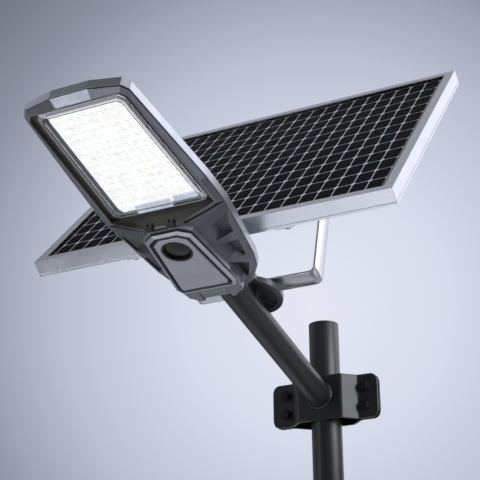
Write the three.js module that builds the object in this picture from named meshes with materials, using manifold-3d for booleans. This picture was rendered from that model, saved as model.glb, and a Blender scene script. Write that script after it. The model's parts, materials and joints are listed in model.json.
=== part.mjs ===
// Solar street lamp: short top section of a mast, pole clamp with inclined arm, LED lamp head,
// rosette swivel, U-bracket and framed solar panel. Millimetres, +Z up, mast axis on Z.
import * as THREE from "three";
import { mergeVertices } from "three/addons/utils/BufferGeometryUtils.js";
import { ConvexGeometry } from "three/addons/geometries/ConvexGeometry.js";
import Module from "manifold-3d";

const wasm = await Module();
wasm.setup();

// ---- driving dimensions -------------------------------------------------------------------
const GAP = 0.3;                 // clearance between touching pieces

const MAST_R = 30;
const MAST_WALL = 3;
const MAST_LENGTH = 340;
const ARM_Z = 175;               // height where the arm axis crosses the mast axis
const ARM_RISE = 16;             // degrees above horizontal
const ARM_R = 25;
const ARM_WALL = 2.5;
const ARM_END = 495;             // distance of the arm's inner end from the mast axis

const CLAMP_Z = ARM_Z + 4.5;
const CLAMP_H = 88;
const CLAMP_HALF_W = 112;
const CLAMP_T = 5;
const CLAMP_FACE_HALF = 46;      // half width of the flat face against the mast
const CLAMP_FOOT = 70;           // where the oblique wall meets the flange
const CLAMP_FLANGE_Y = 3;        // half gap between the two flanges
const CLAMP_CORNER = 15;
const CLAMP_BOLT_X = 84;
const CLAMP_BOLT_DZ = 19;

const RIM_LOW = -15;             // lower edge of the top shell's skirt
const CROWN_H = 12;              // top of the flat crown
const FRAME_LOW = -21;           // lowest face of the lens frame
const COVER_LOW = -55;           // underside of the rear cover
const BOX_LOW = -48;             // underside of the rear box, where the cover seats
const WING_LOW = -39;            // height where wing and box wall meet

const SENSOR_S = 604;            // presence sensor, measured along the arm
const SENSOR_R = 26.5;

const SWIVEL_S = 340;            // swivel axis, measured along the arm
const TONGUE_LOW = 30;
const TONGUE_TOP = 41;
const TONGUE_R = 54;
const NECK_HALF = 29;
const ROSETTE_R = 40;
const STRAP_W = 38;
const STRAP_T = 4;
const STRAP_HALF = 127;          // outer face of a leg
const STRAP_BAR_LOW = 49.5;
const STRAP_BEND = 12;
const PIVOT_H = 308.7;           // tilt pivot above the arm axis

const PANEL_W = 690;
const PANEL_L = 590;
const PANEL_D = 30;
const PANEL_TILT = 45.9;         // degrees from horizontal
const PANEL_LIP = 18;            // width of the frame's front lip
const PIVOT_TO_BACK = 25;        // pivot behind the panel's back plane
const PIVOT_UP = 42.5;           // pivot above the panel's centre, along the slope

// ---- materials ----------------------------------------------------------------------------
const finish = (color, roughness, metalness) => () =>
  new THREE.MeshStandardMaterial({ color, roughness, metalness });
const charcoal = finish(0x3b3c3f, 0.45, 0.2);
const blackSteel = finish(0x17181a, 0.5, 0.6);
const silverPaint = finish(0x9b9ea6, 0.42, 0.35);
const darkPaint = finish(0x55575c, 0.5, 0.3);
const aluminium = finish(0xc9ccd2, 0.32, 0.9);
const steel = finish(0xa9acb0, 0.35, 0.9);
const clear = finish(0xdfe8ee, 0.06, 0);
const optic = finish(0xf6f8fb, 0.12, 0);
const boardWhite = finish(0xf2f3f4, 0.6, 0);
const rubber = finish(0x1b1a18, 0.8, 0);
const cellBlack = finish(0x07080c, 0.25, 0.1);
const sheetWhite = finish(0xe9eaec, 0.55, 0);
const plasticBlack = finish(0x141516, 0.5, 0);
const pcbGreen = finish(0x1f5a37, 0.5, 0);
const batteryBlue = finish(0x2c5fa8, 0.45, 0);

// ---- solid helpers ------------------------------------------------------------------------
function solid(geometry) {
  let g = geometry.clone();
  g.deleteAttribute("normal");
  g.deleteAttribute("uv");
  g = mergeVertices(g, 1e-3);
  const mesh = new wasm.Mesh({
    numProp: 3,
    vertProperties: Float32Array.from(g.attributes.position.array),
    triVerts: Uint32Array.from(g.index.array),
  });
  return new wasm.Manifold(mesh);
}

function toGeometry(body) {
  const mesh = body.getMesh();
  const g = new THREE.BufferGeometry();
  g.setAttribute("position", new THREE.BufferAttribute(Float32Array.from(mesh.vertProperties), 3));
  g.setIndex(new THREE.BufferAttribute(Uint32Array.from(mesh.triVerts), 1));
  const flat = g.toNonIndexed();
  flat.computeVertexNormals();
  return flat;
}

function piece(parent, name, body, material) {
  const geometry = body.isBufferGeometry ? body : toGeometry(body);
  const mesh = new THREE.Mesh(geometry, material());
  mesh.name = name;
  parent.add(mesh);
  return mesh;
}

// prism of a closed outline in the XY plane between two heights
function prism(points, z0, z1) {
  const shape = new THREE.Shape(points.map(([x, y]) => new THREE.Vector2(x, y)));
  const g = new THREE.ExtrudeGeometry(shape, { depth: z1 - z0, bevelEnabled: false, curveSegments: 12 });
  g.translate(0, 0, z0);
  return solid(g);
}

// faceted body spanned by outlines at several heights
function hull(levels) {
  const pts = [];
  for (const [z, outline] of levels) {
    for (const [x, y] of outline) pts.push(new THREE.Vector3(x, y, z));
  }
  return solid(new ConvexGeometry(pts));
}

function box(x0, x1, y0, y1, z0, z1) {
  const g = new THREE.BoxGeometry(x1 - x0, y1 - y0, z1 - z0);
  g.translate((x0 + x1) / 2, (y0 + y1) / 2, (z0 + z1) / 2);
  return solid(g);
}

// round bar along local Z
function rod(r, z0, z1, segments = 32, x = 0, y = 0) {
  const g = new THREE.CylinderGeometry(r, r, z1 - z0, segments);
  g.rotateX(Math.PI / 2);
  g.translate(x, y, (z0 + z1) / 2);
  return solid(g);
}

function cone(r0, r1, z0, z1, segments = 32, x = 0, y = 0) {
  const g = new THREE.CylinderGeometry(r1, r0, z1 - z0, segments);
  g.rotateX(Math.PI / 2);
  g.translate(x, y, (z0 + z1) / 2);
  return solid(g);
}

function roundedRect(w, h, r, n = 5) {
  const out = [];
  const corners = [[w / 2 - r, h / 2 - r, 0], [-w / 2 + r, h / 2 - r, 90],
    [-w / 2 + r, -h / 2 + r, 180], [w / 2 - r, -h / 2 + r, 270]];
  for (const [cx, cy, a0] of corners) {
    for (let i = 0; i <= n; i += 1) {
      const a = THREE.MathUtils.degToRad(a0 + (90 * i) / n);
      out.push([cx + r * Math.cos(a), cy + r * Math.sin(a)]);
    }
  }
  return out;
}

// outline symmetric about x = 0 from its right half; s runs along the arm, so y = -s
function symmetric(half) {
  const right = half.map(([x, s]) => [x, -s]);
  const left = half.map(([x, s]) => [-x, -s]).reverse();
  return [...right, ...left];
}

function hexBolt(headAcross, headH, shankR, length, segments = 20) {
  const head = rod(headAcross / 2 / Math.cos(Math.PI / 6), 0, headH, 6);
  return head.add(rod(shankR, -length, 0.5, segments));
}

function hexNut(across, h, holeR, segments = 20) {
  return rod(across / 2 / Math.cos(Math.PI / 6), 0, h, 6).subtract(rod(holeR, -1, h + 1, segments));
}

const group = new THREE.Group();
group.name = "solar_street_lamp";

// ---- mast and pole clamp ------------------------------------------------------------------
function buildMast() {
  const tube = rod(MAST_R, 0, MAST_LENGTH, 64).subtract(
    rod(MAST_R - MAST_WALL, -1, MAST_LENGTH + 1, 64));
  piece(group, "mast_tube", tube, charcoal);
}

// half of the clamp: flat face against the mast, oblique walls and two bolt flanges
function clampHalf() {
  const inner = MAST_R + GAP;
  const f = CLAMP_FLANGE_Y;
  const t = CLAMP_T;
  const outline = [[-CLAMP_HALF_W, -f], [-CLAMP_FOOT, -f], [-CLAMP_FACE_HALF + 3, -inner],
    [CLAMP_FACE_HALF - 3, -inner], [CLAMP_FOOT, -f], [CLAMP_HALF_W, -f],
    [CLAMP_HALF_W, -f - t], [CLAMP_FOOT + 3, -f - t], [CLAMP_FACE_HALF, -inner - t],
    [-CLAMP_FACE_HALF, -inner - t], [-CLAMP_FOOT - 3, -f - t], [-CLAMP_HALF_W, -f - t]];
  let body = prism(outline, -CLAMP_H / 2, CLAMP_H / 2);
  const trim = new THREE.ExtrudeGeometry(
    new THREE.Shape(roundedRect(2 * CLAMP_HALF_W, CLAMP_H, CLAMP_CORNER, 6)
      .map(([x, y]) => new THREE.Vector2(x, y))),
    { depth: 120, bevelEnabled: false });
  trim.translate(0, 0, -60);
  trim.rotateX(Math.PI / 2);
  body = body.intersect(solid(trim));
  for (const x of [-CLAMP_BOLT_X, CLAMP_BOLT_X]) {
    for (const z of [-CLAMP_BOLT_DZ, CLAMP_BOLT_DZ]) {
      const hole = new THREE.CylinderGeometry(5.4, 5.4, 60, 20);
      hole.translate(x, 0, z);
      body = body.subtract(solid(hole));
    }
  }
  return body;
}

function buildClamp() {
  const front = piece(group, "clamp_front", clampHalf(), charcoal);
  front.position.z = CLAMP_Z;
  const rear = piece(group, "clamp_rear", clampHalf(), charcoal);
  rear.position.z = CLAMP_Z;
  rear.rotation.z = Math.PI;
  let n = 0;
  for (const x of [-CLAMP_BOLT_X, CLAMP_BOLT_X]) {
    for (const z of [CLAMP_BOLT_DZ, -CLAMP_BOLT_DZ]) {
      n += 1;
      const seat = CLAMP_FLANGE_Y + CLAMP_T;
      const bolt = piece(group, `clamp_bolt_${n}`, hexBolt(17, 6.5, 5, 2 * seat + 16), blackSteel);
      bolt.position.set(x, -seat - GAP, CLAMP_Z + z);
      bolt.rotation.x = Math.PI / 2;
      const nut = piece(group, `clamp_nut_${n}`, hexNut(17, 8, 5.3), blackSteel);
      nut.position.set(x, seat + GAP, CLAMP_Z + z);
      nut.rotation.x = -Math.PI / 2;
    }
  }
}

// ---- arm frame: x across, y = minus the distance along the arm, z square to the arm ----------
const arm = new THREE.Group();
arm.name = "arm_frame";
arm.position.z = ARM_Z;
arm.rotation.x = THREE.MathUtils.degToRad(-ARM_RISE);
group.add(arm);

function buildArm() {
  const tube = new THREE.CylinderGeometry(ARM_R, ARM_R, ARM_END, 48);
  tube.translate(0, -ARM_END / 2, 0);
  const bore = new THREE.CylinderGeometry(ARM_R - ARM_WALL, ARM_R - ARM_WALL, ARM_END + 60, 48);
  bore.translate(0, -ARM_END / 2, 0);
  // the lower end is cut flat against the clamp face
  const cut = new THREE.BoxGeometry(200, 200, 200);
  cut.translate(0, 100 - (MAST_R + GAP + CLAMP_T + GAP), 0);
  cut.rotateX(THREE.MathUtils.degToRad(ARM_RISE));
  const body = solid(tube).subtract(solid(bore)).subtract(solid(cut));
  piece(arm, "arm_tube", body, charcoal);
}

// ---- lamp head ----------------------------------------------------------------------------
const RIM = [[33, 952], [84, 942], [93, 929], [109, 720], [110, 655], [93, 516], [84, 485],
  [58, 448], [38, 436]];
const RIM_IN = [[32, 946], [81, 936.5], [88, 926], [104, 718], [105, 656], [88.5, 518],
  [79.5, 489], [55, 453], [36, 442]];
const CROWN = [[24, 926], [66, 918], [72, 908], [86, 720], [87, 662], [70, 540], [62, 518]];

function buildTopShell() {
  let shell = hull([[RIM_LOW, symmetric(RIM)], [0, symmetric(RIM)]])
    .add(hull([[-0.5, symmetric(RIM)], [CROWN_H, symmetric(CROWN)]]));
  // hump over the pipe socket, and the neck and round tongue carrying the swivel
  const hump = hull([
    [0, symmetric([[46, 520], [54, 505], [50, 450], [40, 438]])],
    [TONGUE_TOP, symmetric([[28, 478], [34, 468], [34, 440], [30, 430]])],
  ]);
  const neck = prism(symmetric([[30, 450], [NECK_HALF, 420], [NECK_HALF, SWIVEL_S]]),
    TONGUE_LOW, TONGUE_TOP);
  const tongue = rod(TONGUE_R, TONGUE_LOW, TONGUE_TOP, 56, 0, -SWIVEL_S).add(neck);
  // skirt is hollow from below
  shell = shell.subtract(prism(symmetric(RIM_IN), RIM_LOW - 5, -2));
  // socket for the arm, and the recess that hides the swivel nut
  const bore = new THREE.CylinderGeometry(ARM_R + GAP, ARM_R + GAP, 200, 48);
  bore.translate(0, -398, 0);
  shell = shell.subtract(solid(bore));
  shell = shell.subtract(prism(symmetric([[18, 408], [18, SWIVEL_S]]), TONGUE_LOW - 5,
    TONGUE_TOP - 5.5));
  shell = shell.subtract(rod(35, TONGUE_LOW - 5, TONGUE_TOP - 5.5, 40, 0, -SWIVEL_S));
  shell = shell.subtract(rod(5.4, TONGUE_LOW - 5, TONGUE_TOP + 5, 24, 0, -SWIVEL_S));
  piece(arm, "head_top_shell", shell, silverPaint);
}

// wedge behind the lens, deepest in the middle, that closes the front of the rear box
function frameWedge(extra) {
  const top = RIM_LOW - GAP;
  return hull([
    [top + extra, symmetric([[100 + extra, 668], [100 + extra, 656.3 - extra],
      [30, 645 - extra]])],
    [FRAME_LOW - extra, symmetric([[97 + extra, 667], [88 + extra, 656.6 - extra]])],
    [-47 - extra, symmetric([[31 + extra, 665], [31 + extra, 658.6 - extra]])],
  ]);
}

function buildFrontFrame() {
  const top = RIM_LOW - GAP;
  const outer = [[33, 952], [84, 942], [93, 929], [109, 720], [110, 656.4]];
  const lower = [[31, 934], [80, 933.5], [89, 922], [98.5, 720], [99, 662]];
  let ring = hull([[top, symmetric(outer)], [FRAME_LOW, symmetric(lower)]]);
  ring = ring.subtract(prism(symmetric([[78, 931], [86, 920], [95, 668], [88, 600]]),
    FRAME_LOW - 10, top + 5));
  piece(arm, "head_front_frame", ring.add(frameWedge(0)), silverPaint);
}

const COVER = [[24, 649.5], [43, 636.5], [55, 501], [50.5, 491]];

function buildRearBase() {
  const top = RIM_LOW - GAP;
  const wing = hull([
    [top, symmetric([[90, 655.5], [109.6, 655.5], [92.6, 516], [83.6, 485], [58, 448], [38, 436]])],
    [WING_LOW, symmetric([[40, 650], [50, 634], [57, 536], [55, 500], [49, 472], [40, 458]])],
  ]);
  const boxBody = hull([
    [top, symmetric([[34, 655], [49, 641], [59, 502], [51, 470], [38, 452]])],
    [BOX_LOW, symmetric([[28, 656], [46, 639], [58, 501], [49, 470], [34, 456]])],
  ]);
  let body = wing.add(boxBody).subtract(frameWedge(GAP));
  for (const sx of [-1, 1]) {
    body = body.add(rod(8, BOX_LOW + 3, top, 24, sx * 45, -470));
  }
  // room for battery and controller, open to the shell above and closed by the cover below
  body = body.subtract(hull([
    [top + 1, symmetric([[26, 642], [40, 630], [50, 505], [46, 502]])],
    [BOX_LOW - 1, symmetric([[22, 642], [38, 630], [50, 505], [46, 502]])],
  ]));
  // three pockets in each wing, separated by ribs
  const pockets = [
    [[[104, 639], [96, 587], [61, 590], [56, 619]], [[97, 631], [90, 591], [70, 595], [67, 616]]],
    [[[94, 572], [86.5, 520], [63, 538], [60, 581]], [[89, 567], [82, 528], [70, 543], [69, 574]]],
    [[[82, 507], [68, 474], [57, 481], [56, 516], [59, 531]],
      [[78, 503], [67, 480], [61, 485], [61, 512], [63, 522]]],
  ];
  for (const sx of [-1, 1]) {
    for (const [mouth, floor] of pockets) {
      body = body.subtract(hull([
        [WING_LOW - 12, mouth.map(([x, s]) => [sx * x, -s])],
        [WING_LOW + 2, mouth.map(([x, s]) => [sx * x, -s])],
        [top - 4, floor.map(([x, s]) => [sx * x, -s])],
      ]));
    }
  }
  // socket for the arm and the seat of the pipe saddle
  const bore = new THREE.CylinderGeometry(ARM_R + GAP, ARM_R + GAP, 100, 48);
  bore.translate(0, -446, 0);
  body = body.subtract(solid(bore));
  body = body.subtract(box(-26.3, 26.3, -478.3, -400, BOX_LOW - 10, -20));
  piece(arm, "head_rear_base", body, silverPaint);
}

function buildPipeSaddle() {
  // lower half of the socket, screwed up against the arm
  let body = hull([
    [-20.5, symmetric([[26, 478], [26, 452]])],
    [BOX_LOW + 2, symmetric([[26, 478], [26, 461]])],
    [BOX_LOW, symmetric([[24, 476.5], [24, 463]])],
  ]);
  const bore = new THREE.CylinderGeometry(ARM_R + GAP, ARM_R + GAP, 100, 48);
  bore.translate(0, -446, 0);
  body = body.subtract(solid(bore));
  piece(arm, "pipe_saddle", body, silverPaint);
}

function buildCover() {
  const lip = symmetric(COVER);
  const low = symmetric([[22.5, 647], [40, 634.5], [52, 502.5], [48.5, 494]]);
  const top = BOX_LOW - GAP;
  let plate = hull([[top, lip], [top - 3, lip], [COVER_LOW + 1.5, low]]);
  // groove around the flat middle
  const grooveOut = symmetric([[20, 642], [35.5, 630.5], [47, 505.5], [44.5, 500]]);
  const grooveIn = symmetric([[17.5, 637.5], [31.5, 627], [42.5, 509], [40.5, 504.5]]);
  plate = plate.subtract(prism(grooveOut, COVER_LOW - 5, COVER_LOW + 4));
  plate = plate.add(hull([[COVER_LOW + 4.5, grooveIn], [COVER_LOW + 0.8, grooveIn],
    [COVER_LOW, symmetric([[17, 636.5], [30.5, 626], [41.5, 510], [39.5, 505.5]])]]));
  plate = plate.subtract(rod(SENSOR_R, COVER_LOW - 5, top + 5, 48, 0, -SENSOR_S));
  piece(arm, "rear_cover", plate, silverPaint);
  // presence sensor seated in the round hole
  const sensor = solid(closedDome(60, SENSOR_R - GAP)).translate([0, -SENSOR_S, COVER_LOW + 3])
    .add(rod(SENSOR_R - GAP, COVER_LOW + 3 + 5, top + 2.5, 48, 0, -SENSOR_S));
  piece(arm, "sensor_window", sensor, plasticBlack);
}

// shallow cap of a sphere with its flat face up, lowest point at z = 0
function closedDome(sphereR, capR) {
  const depth = sphereR - Math.sqrt(sphereR * sphereR - capR * capR);
  const pts = [new THREE.Vector2(0, 0)];
  for (let i = 1; i <= 6; i += 1) {
    const r = (capR * i) / 6;
    pts.push(new THREE.Vector2(r, sphereR - Math.sqrt(sphereR * sphereR - r * r)));
  }
  pts.push(new THREE.Vector2(capR, depth + 0.5));
  pts.push(new THREE.Vector2(0, depth + 0.5));
  const g = new THREE.LatheGeometry(pts, 48);
  g.rotateX(Math.PI / 2);
  return g;
}

function buildLightEngine() {
  const board = prism(symmetric([[62, 918], [66, 912], [76, 680], [70, 668]]), -4.5, -2.3);
  piece(arm, "led_board", board, boardWhite);
  // optics plate with one small dome over each emitter
  let optics = prism(symmetric([[60, 914], [64, 908], [72, 688], [68, 676]]), -8, -4.8);
  const rows = 14;
  const columns = 7;
  for (let j = 0; j < rows; j += 1) {
    const s = 692 + (206 * j) / (rows - 1);
    const half = 62 - (7 * j) / (rows - 1);
    for (let i = 0; i < columns; i += 1) {
      const x = -half + (2 * half * i) / (columns - 1);
      optics = optics.add(cone(4, 6.4, -12, -7.8, 8, x, -s));
    }
  }
  piece(arm, "optics_plate", optics, optic);
  // gasket frame around the optics
  const gasket = prism(symmetric([[79, 935], [87, 925], [101, 718], [101, 662]]), -12.5, -2.3)
    .subtract(prism(symmetric([[66, 924], [72, 917], [84, 674], [78, 664]]), -14, -1));
  piece(arm, "lens_gasket", gasket, rubber);
  // clear cover with a bevelled edge, standing in the frame opening
  const glass = hull([
    [-12.8, symmetric([[69, 924], [76, 915], [86, 676], [79, 669]])],
    [-15, symmetric([[69, 924], [76, 915], [86, 676], [79, 669]])],
    [-18.5, symmetric([[65, 919], [71.5, 910.5], [81, 681], [75, 674.5]])],
  ]).subtract(prism(symmetric([[62, 915], [68, 907.5], [77, 685], [72, 678.5]]), -16, -12));
  piece(arm, "lens_cover", glass, clear);
}

function buildInside() {
  let pack = box(-33, 33, -566, -558, -44, -20);
  for (let i = 0; i < 3; i += 1) {
    const c = new THREE.CylinderGeometry(11, 11, 102, 24);
    c.translate(-21.3 + 21.3 * i, -562, -32);
    pack = pack.add(solid(c));
  }
  piece(arm, "battery_pack", pack, batteryBlue);
  let pcb = box(-36, 36, -618, -514, -14, -12.4);
  const parts = [[-20, -600, 12, 12, 5], [10, -590, 18, 14, 8], [-14, -560, 20, 20, 6],
    [18, -545, 14, 22, 7], [-18, -530, 16, 12, 5]];
  for (const [x, y, w, d, h] of parts) {
    pcb = pcb.add(box(x - w / 2, x + w / 2, y - d / 2, y + d / 2, -12.6, -12.4 + h));
  }
  piece(arm, "charge_controller", pcb, pcbGreen);
}

function buildCoverClips() {
  // two small black clips on the lip between lens frame and cover
  for (const [name, sx] of [["cover_clip_left", -1], ["cover_clip_right", 1]]) {
    let clip = box(sx * 20 - 7, sx * 20 + 7, -670, -659, -51, -47.4);
    for (const dx of [-4.5, 4.5]) {
      clip = clip.add(box(sx * 20 + dx - 2.2, sx * 20 + dx + 2.2, -670, -666, -51, -40));
    }
    piece(arm, name, clip, plasticBlack);
  }
}

// ---- swivel and U-bracket -------------------------------------------------------------------
const swivel = new THREE.Group();
swivel.name = "swivel_frame";
swivel.position.y = -SWIVEL_S;
arm.add(swivel);

// disc with radial teeth on its upper face
function rosette(zBase, zTooth, phase) {
  const teeth = 36;
  let body = rod(ROSETTE_R, zBase, zTooth, 72);
  for (let i = 0; i < teeth; i += 1) {
    const a = ((i + phase) * 2 * Math.PI) / teeth;
    const w = 2.2;
    const bar = new THREE.CylinderGeometry(w, w, 14, 3, 1);
    bar.rotateY(Math.PI / 2);
    bar.rotateZ(-Math.PI / 2);
    bar.translate(ROSETTE_R - 7.4, 0, zTooth);
    bar.rotateZ(a);
    body = body.add(solid(bar));
  }
  return body;
}

function buildSwivel() {
  const low = TONGUE_TOP + GAP;
  const mid = (TONGUE_TOP + STRAP_BAR_LOW) / 2;
  const lower = rosette(low, mid - 1.4, 0).intersect(rod(ROSETTE_R, low, mid + 0.9, 72))
    .subtract(rod(5.4, low - 1, mid + 3, 24));
  piece(swivel, "rosette_lower", lower, darkPaint);
  const upper = rod(ROSETTE_R, mid + 1.2, STRAP_BAR_LOW - GAP, 72)
    .subtract(rod(5.4, low, STRAP_BAR_LOW + 1, 24));
  piece(swivel, "rosette_upper", upper, darkPaint);
  const strapTop = STRAP_BAR_LOW + STRAP_T;
  const bolt = piece(swivel, "swivel_bolt", hexBolt(17, 6.5, 5, 27), steel);
  bolt.position.z = strapTop + 2 + 2 * GAP;
  const washer = rod(12, strapTop + GAP, strapTop + 2 + GAP, 32)
    .subtract(rod(5.4, strapTop, strapTop + 4, 24));
  piece(swivel, "swivel_washer", washer, steel);
  const nut = piece(swivel, "swivel_nut", hexNut(17, 6, 5.3), steel);
  nut.position.z = TONGUE_TOP - 5.5 - GAP - 6;
}

function strapPath() {
  const o = STRAP_HALF;
  const r = STRAP_BEND;
  const z0 = STRAP_BAR_LOW;
  const legTop = PIVOT_H;
  const shape = new THREE.Shape();
  shape.moveTo(-o, legTop);
  shape.lineTo(-o, z0 + r);
  shape.absarc(-o + r, z0 + r, r, Math.PI, 1.5 * Math.PI, false);
  shape.lineTo(o - r, z0);
  shape.absarc(o - r, z0 + r, r, 1.5 * Math.PI, 2 * Math.PI, false);
  shape.lineTo(o, legTop);
  shape.lineTo(o - STRAP_T, legTop);
  shape.lineTo(o - STRAP_T, z0 + r);
  shape.absarc(o - r, z0 + r, r - STRAP_T, 2 * Math.PI, 1.5 * Math.PI, true);
  shape.lineTo(-o + r, z0 + STRAP_T);
  shape.absarc(-o + r, z0 + r, r - STRAP_T, 1.5 * Math.PI, Math.PI, true);
  shape.lineTo(-o + STRAP_T, legTop);
  return shape;
}

function buildStrap() {
  const g = new THREE.ExtrudeGeometry(strapPath(), { depth: STRAP_W, bevelEnabled: false, curveSegments: 6 });
  g.rotateX(Math.PI / 2);
  g.translate(0, STRAP_W / 2, 0);
  let body = solid(g);
  const eye = new THREE.CylinderGeometry(STRAP_W / 2, STRAP_W / 2, STRAP_T, 32);
  eye.rotateZ(Math.PI / 2);
  for (const sx of [-1, 1]) {
    const e = eye.clone();
    e.translate(sx * (STRAP_HALF - STRAP_T / 2), 0, PIVOT_H);
    body = body.add(solid(e));
  }
  const hole = new THREE.CylinderGeometry(5.4, 5.4, 400, 24);
  hole.rotateZ(Math.PI / 2);
  hole.translate(0, 0, PIVOT_H);
  body = body.subtract(solid(hole));
  body = body.subtract(rod(5.4, STRAP_BAR_LOW - 2, STRAP_BAR_LOW + STRAP_T + 2, 24));
  piece(swivel, "strap_bracket", body, aluminium);
}

// ---- panel: frame with origin on the tilt pivot, y up the slope, z towards the sun -------------
const panel = new THREE.Group();
panel.name = "panel_frame_axes";
panel.position.z = PIVOT_H;
panel.rotation.x = THREE.MathUtils.degToRad(PANEL_TILT + ARM_RISE);
swivel.add(panel);

const BACK = PIVOT_TO_BACK;
const FRONT = PIVOT_TO_BACK + PANEL_D;
const YC = -PIVOT_UP;

// aluminium section: outer wall, front lip, glass ledge and rear flange; u inwards, z up
function frameSection() {
  const w = 1.8;
  const seat = 5;
  return [[0, 0], [22, 0], [22, w], [w, w], [w, PANEL_D - seat - 2 * w], [8, PANEL_D - seat - 2 * w],
    [8, PANEL_D - seat - w], [w, PANEL_D - seat - w], [w, PANEL_D - w], [PANEL_LIP, PANEL_D - w],
    [PANEL_LIP, PANEL_D], [0, PANEL_D]];
}

// one mitred member along local X, outer edge on y = 0 and section reaching to +y
function member(length) {
  const shape = new THREE.Shape(frameSection().map(([u, z]) => new THREE.Vector2(u, z)));
  const g = new THREE.ExtrudeGeometry(shape, { depth: length, bevelEnabled: false });
  // section plane (u, z) to (y, z), extrusion along x
  const m = new THREE.Matrix4().set(0, 0, 1, -length / 2, 1, 0, 0, 0, 0, 1, 0, 0, 0, 0, 0, 1);
  g.applyMatrix4(m);
  const h = length / 2 - GAP / 2;
  const keep = prism([[-h - 1, -1], [h + 1, -1], [h - 40, 40], [-h + 40, 40]], -5, PANEL_D + 5);
  return solid(g).intersect(keep);
}

function buildPanelFrame() {
  const sides = [
    ["frame_bottom", PANEL_W, 0, -PANEL_L / 2, 0], ["frame_top", PANEL_W, 0, PANEL_L / 2, 180],
    ["frame_left", PANEL_L, -PANEL_W / 2, 0, -90], ["frame_right", PANEL_L, PANEL_W / 2, 0, 90],
  ];
  for (const [name, length, x, y, turn] of sides) {
    const mesh = piece(panel, name, member(length), aluminium);
    mesh.position.set(x, YC + y, BACK);
    mesh.rotation.z = THREE.MathUtils.degToRad(turn);
  }
}

function buildLaminate() {
  const m = 1.8 + GAP;
  const x = PANEL_W / 2 - m;
  const y = PANEL_L / 2 - m;
  const seat = BACK + PANEL_D - 5 - 1.8 + GAP;
  const lipUnder = FRONT - 1.8 - GAP;
  const glass = box(-x, x, YC - y, YC + y, lipUnder - 3.0, lipUnder);
  piece(panel, "panel_glass", glass, clear);
  const cells = box(-x + 4, x - 4, YC - y + 4, YC + y - 4, lipUnder - 3.8, lipUnder - 3.0 - 0.2);
  piece(panel, "cell_sheet", cells, cellBlack);
  const backsheet = box(-x, x, YC - y, YC + y, seat, lipUnder - 4.0);
  piece(panel, "back_sheet", backsheet, sheetWhite);
  const jb = hull([
    [seat - 7.6 - 11, roundedRect(92, 62, 8).map(([a, b]) => [a, b + YC + 150])],
    [seat - 7.6 + 2 - 0.3, roundedRect(96, 66, 9).map(([a, b]) => [a, b + YC + 150])],
    [seat - 0.3, roundedRect(96, 66, 9).map(([a, b]) => [a, b + YC + 150])],
  ]);
  piece(panel, "junction_box", jb, plasticBlack);
}

function buildRails() {
  const reach = PANEL_L / 2 - 2.5;
  const web = STRAP_HALF + 0.6;
  let n = 0;
  for (const [name, sx] of [["rail_left", -1], ["rail_right", 1]]) {
    // angle section: flange on the frame's rear flange, web beside the strap leg
    let rail = box(Math.min(sx * web, sx * (web + 34)), Math.max(sx * web, sx * (web + 34)),
      YC - reach, YC + reach, BACK - 3.3, BACK - 0.3);
    const webSpan = [[-reach, 0], [reach, 0], [PIVOT_UP + 60, -12], [PIVOT_UP + 26, -41],
      [PIVOT_UP - 26, -41], [PIVOT_UP - 60, -12]];
    const shape = new THREE.Shape(webSpan.map(([y, z]) => new THREE.Vector2(y, z)));
    const g = new THREE.ExtrudeGeometry(shape, { depth: 3, bevelEnabled: false });
    const m = new THREE.Matrix4().set(0, 0, 1, 0, 1, 0, 0, 0, 0, 1, 0, 0, 0, 0, 0, 1);
    g.applyMatrix4(m);
    g.translate(sx > 0 ? web : -web - 3, YC, BACK - 0.5);
    rail = rail.add(solid(g));
    const hole = new THREE.CylinderGeometry(5.4, 5.4, 40, 24);
    hole.rotateZ(Math.PI / 2);
    hole.translate(sx * web, 0, 0);
    rail = rail.subtract(solid(hole));
    for (const sy of [-1, 1]) {
      const yb = YC + sy * (PANEL_L / 2 - 13);
      rail = rail.subtract(rod(3.4, BACK - 8, BACK + 4, 16, sx * (web + 20), yb));
    }
    piece(panel, name, rail, aluminium);
    for (const sy of [-1, 1]) {
      n += 1;
      const yb = YC + sy * (PANEL_L / 2 - 13);
      const screw = piece(panel, `rail_screw_${n}`, hexBolt(10, 4, 2.6, 3.2, 12), steel);
      screw.position.set(sx * (web + 20), yb, BACK - 3.3 - GAP);
      screw.rotation.x = Math.PI;
    }
    // pivot bolt from inside the leg, nut outside the web
    const side = sx > 0 ? "right" : "left";
    const bolt = piece(panel, `pivot_bolt_${side}`, hexBolt(17, 6.5, 5, 18), steel);
    bolt.position.x = sx * (STRAP_HALF - STRAP_T - GAP);
    bolt.rotation.y = sx > 0 ? -Math.PI / 2 : Math.PI / 2;
    const nut = piece(panel, `pivot_nut_${side}`, hexNut(17, 8, 5.3), steel);
    nut.position.x = sx * (web + 3 + GAP);
    nut.rotation.y = sx > 0 ? Math.PI / 2 : -Math.PI / 2;
  }
}

buildMast();
buildClamp();
buildArm();
buildTopShell();
buildFrontFrame();
buildRearBase();
buildPipeSaddle();
buildCover();
buildLightEngine();
buildInside();
buildCoverClips();
buildSwivel();
buildStrap();
buildPanelFrame();
buildLaminate();
buildRails();

export default group;
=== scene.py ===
import json
import math

import bmesh
import bpy
from bpy.props import FloatProperty, FloatVectorProperty, IntProperty, PointerProperty
from mathutils import Matrix, Vector

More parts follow.
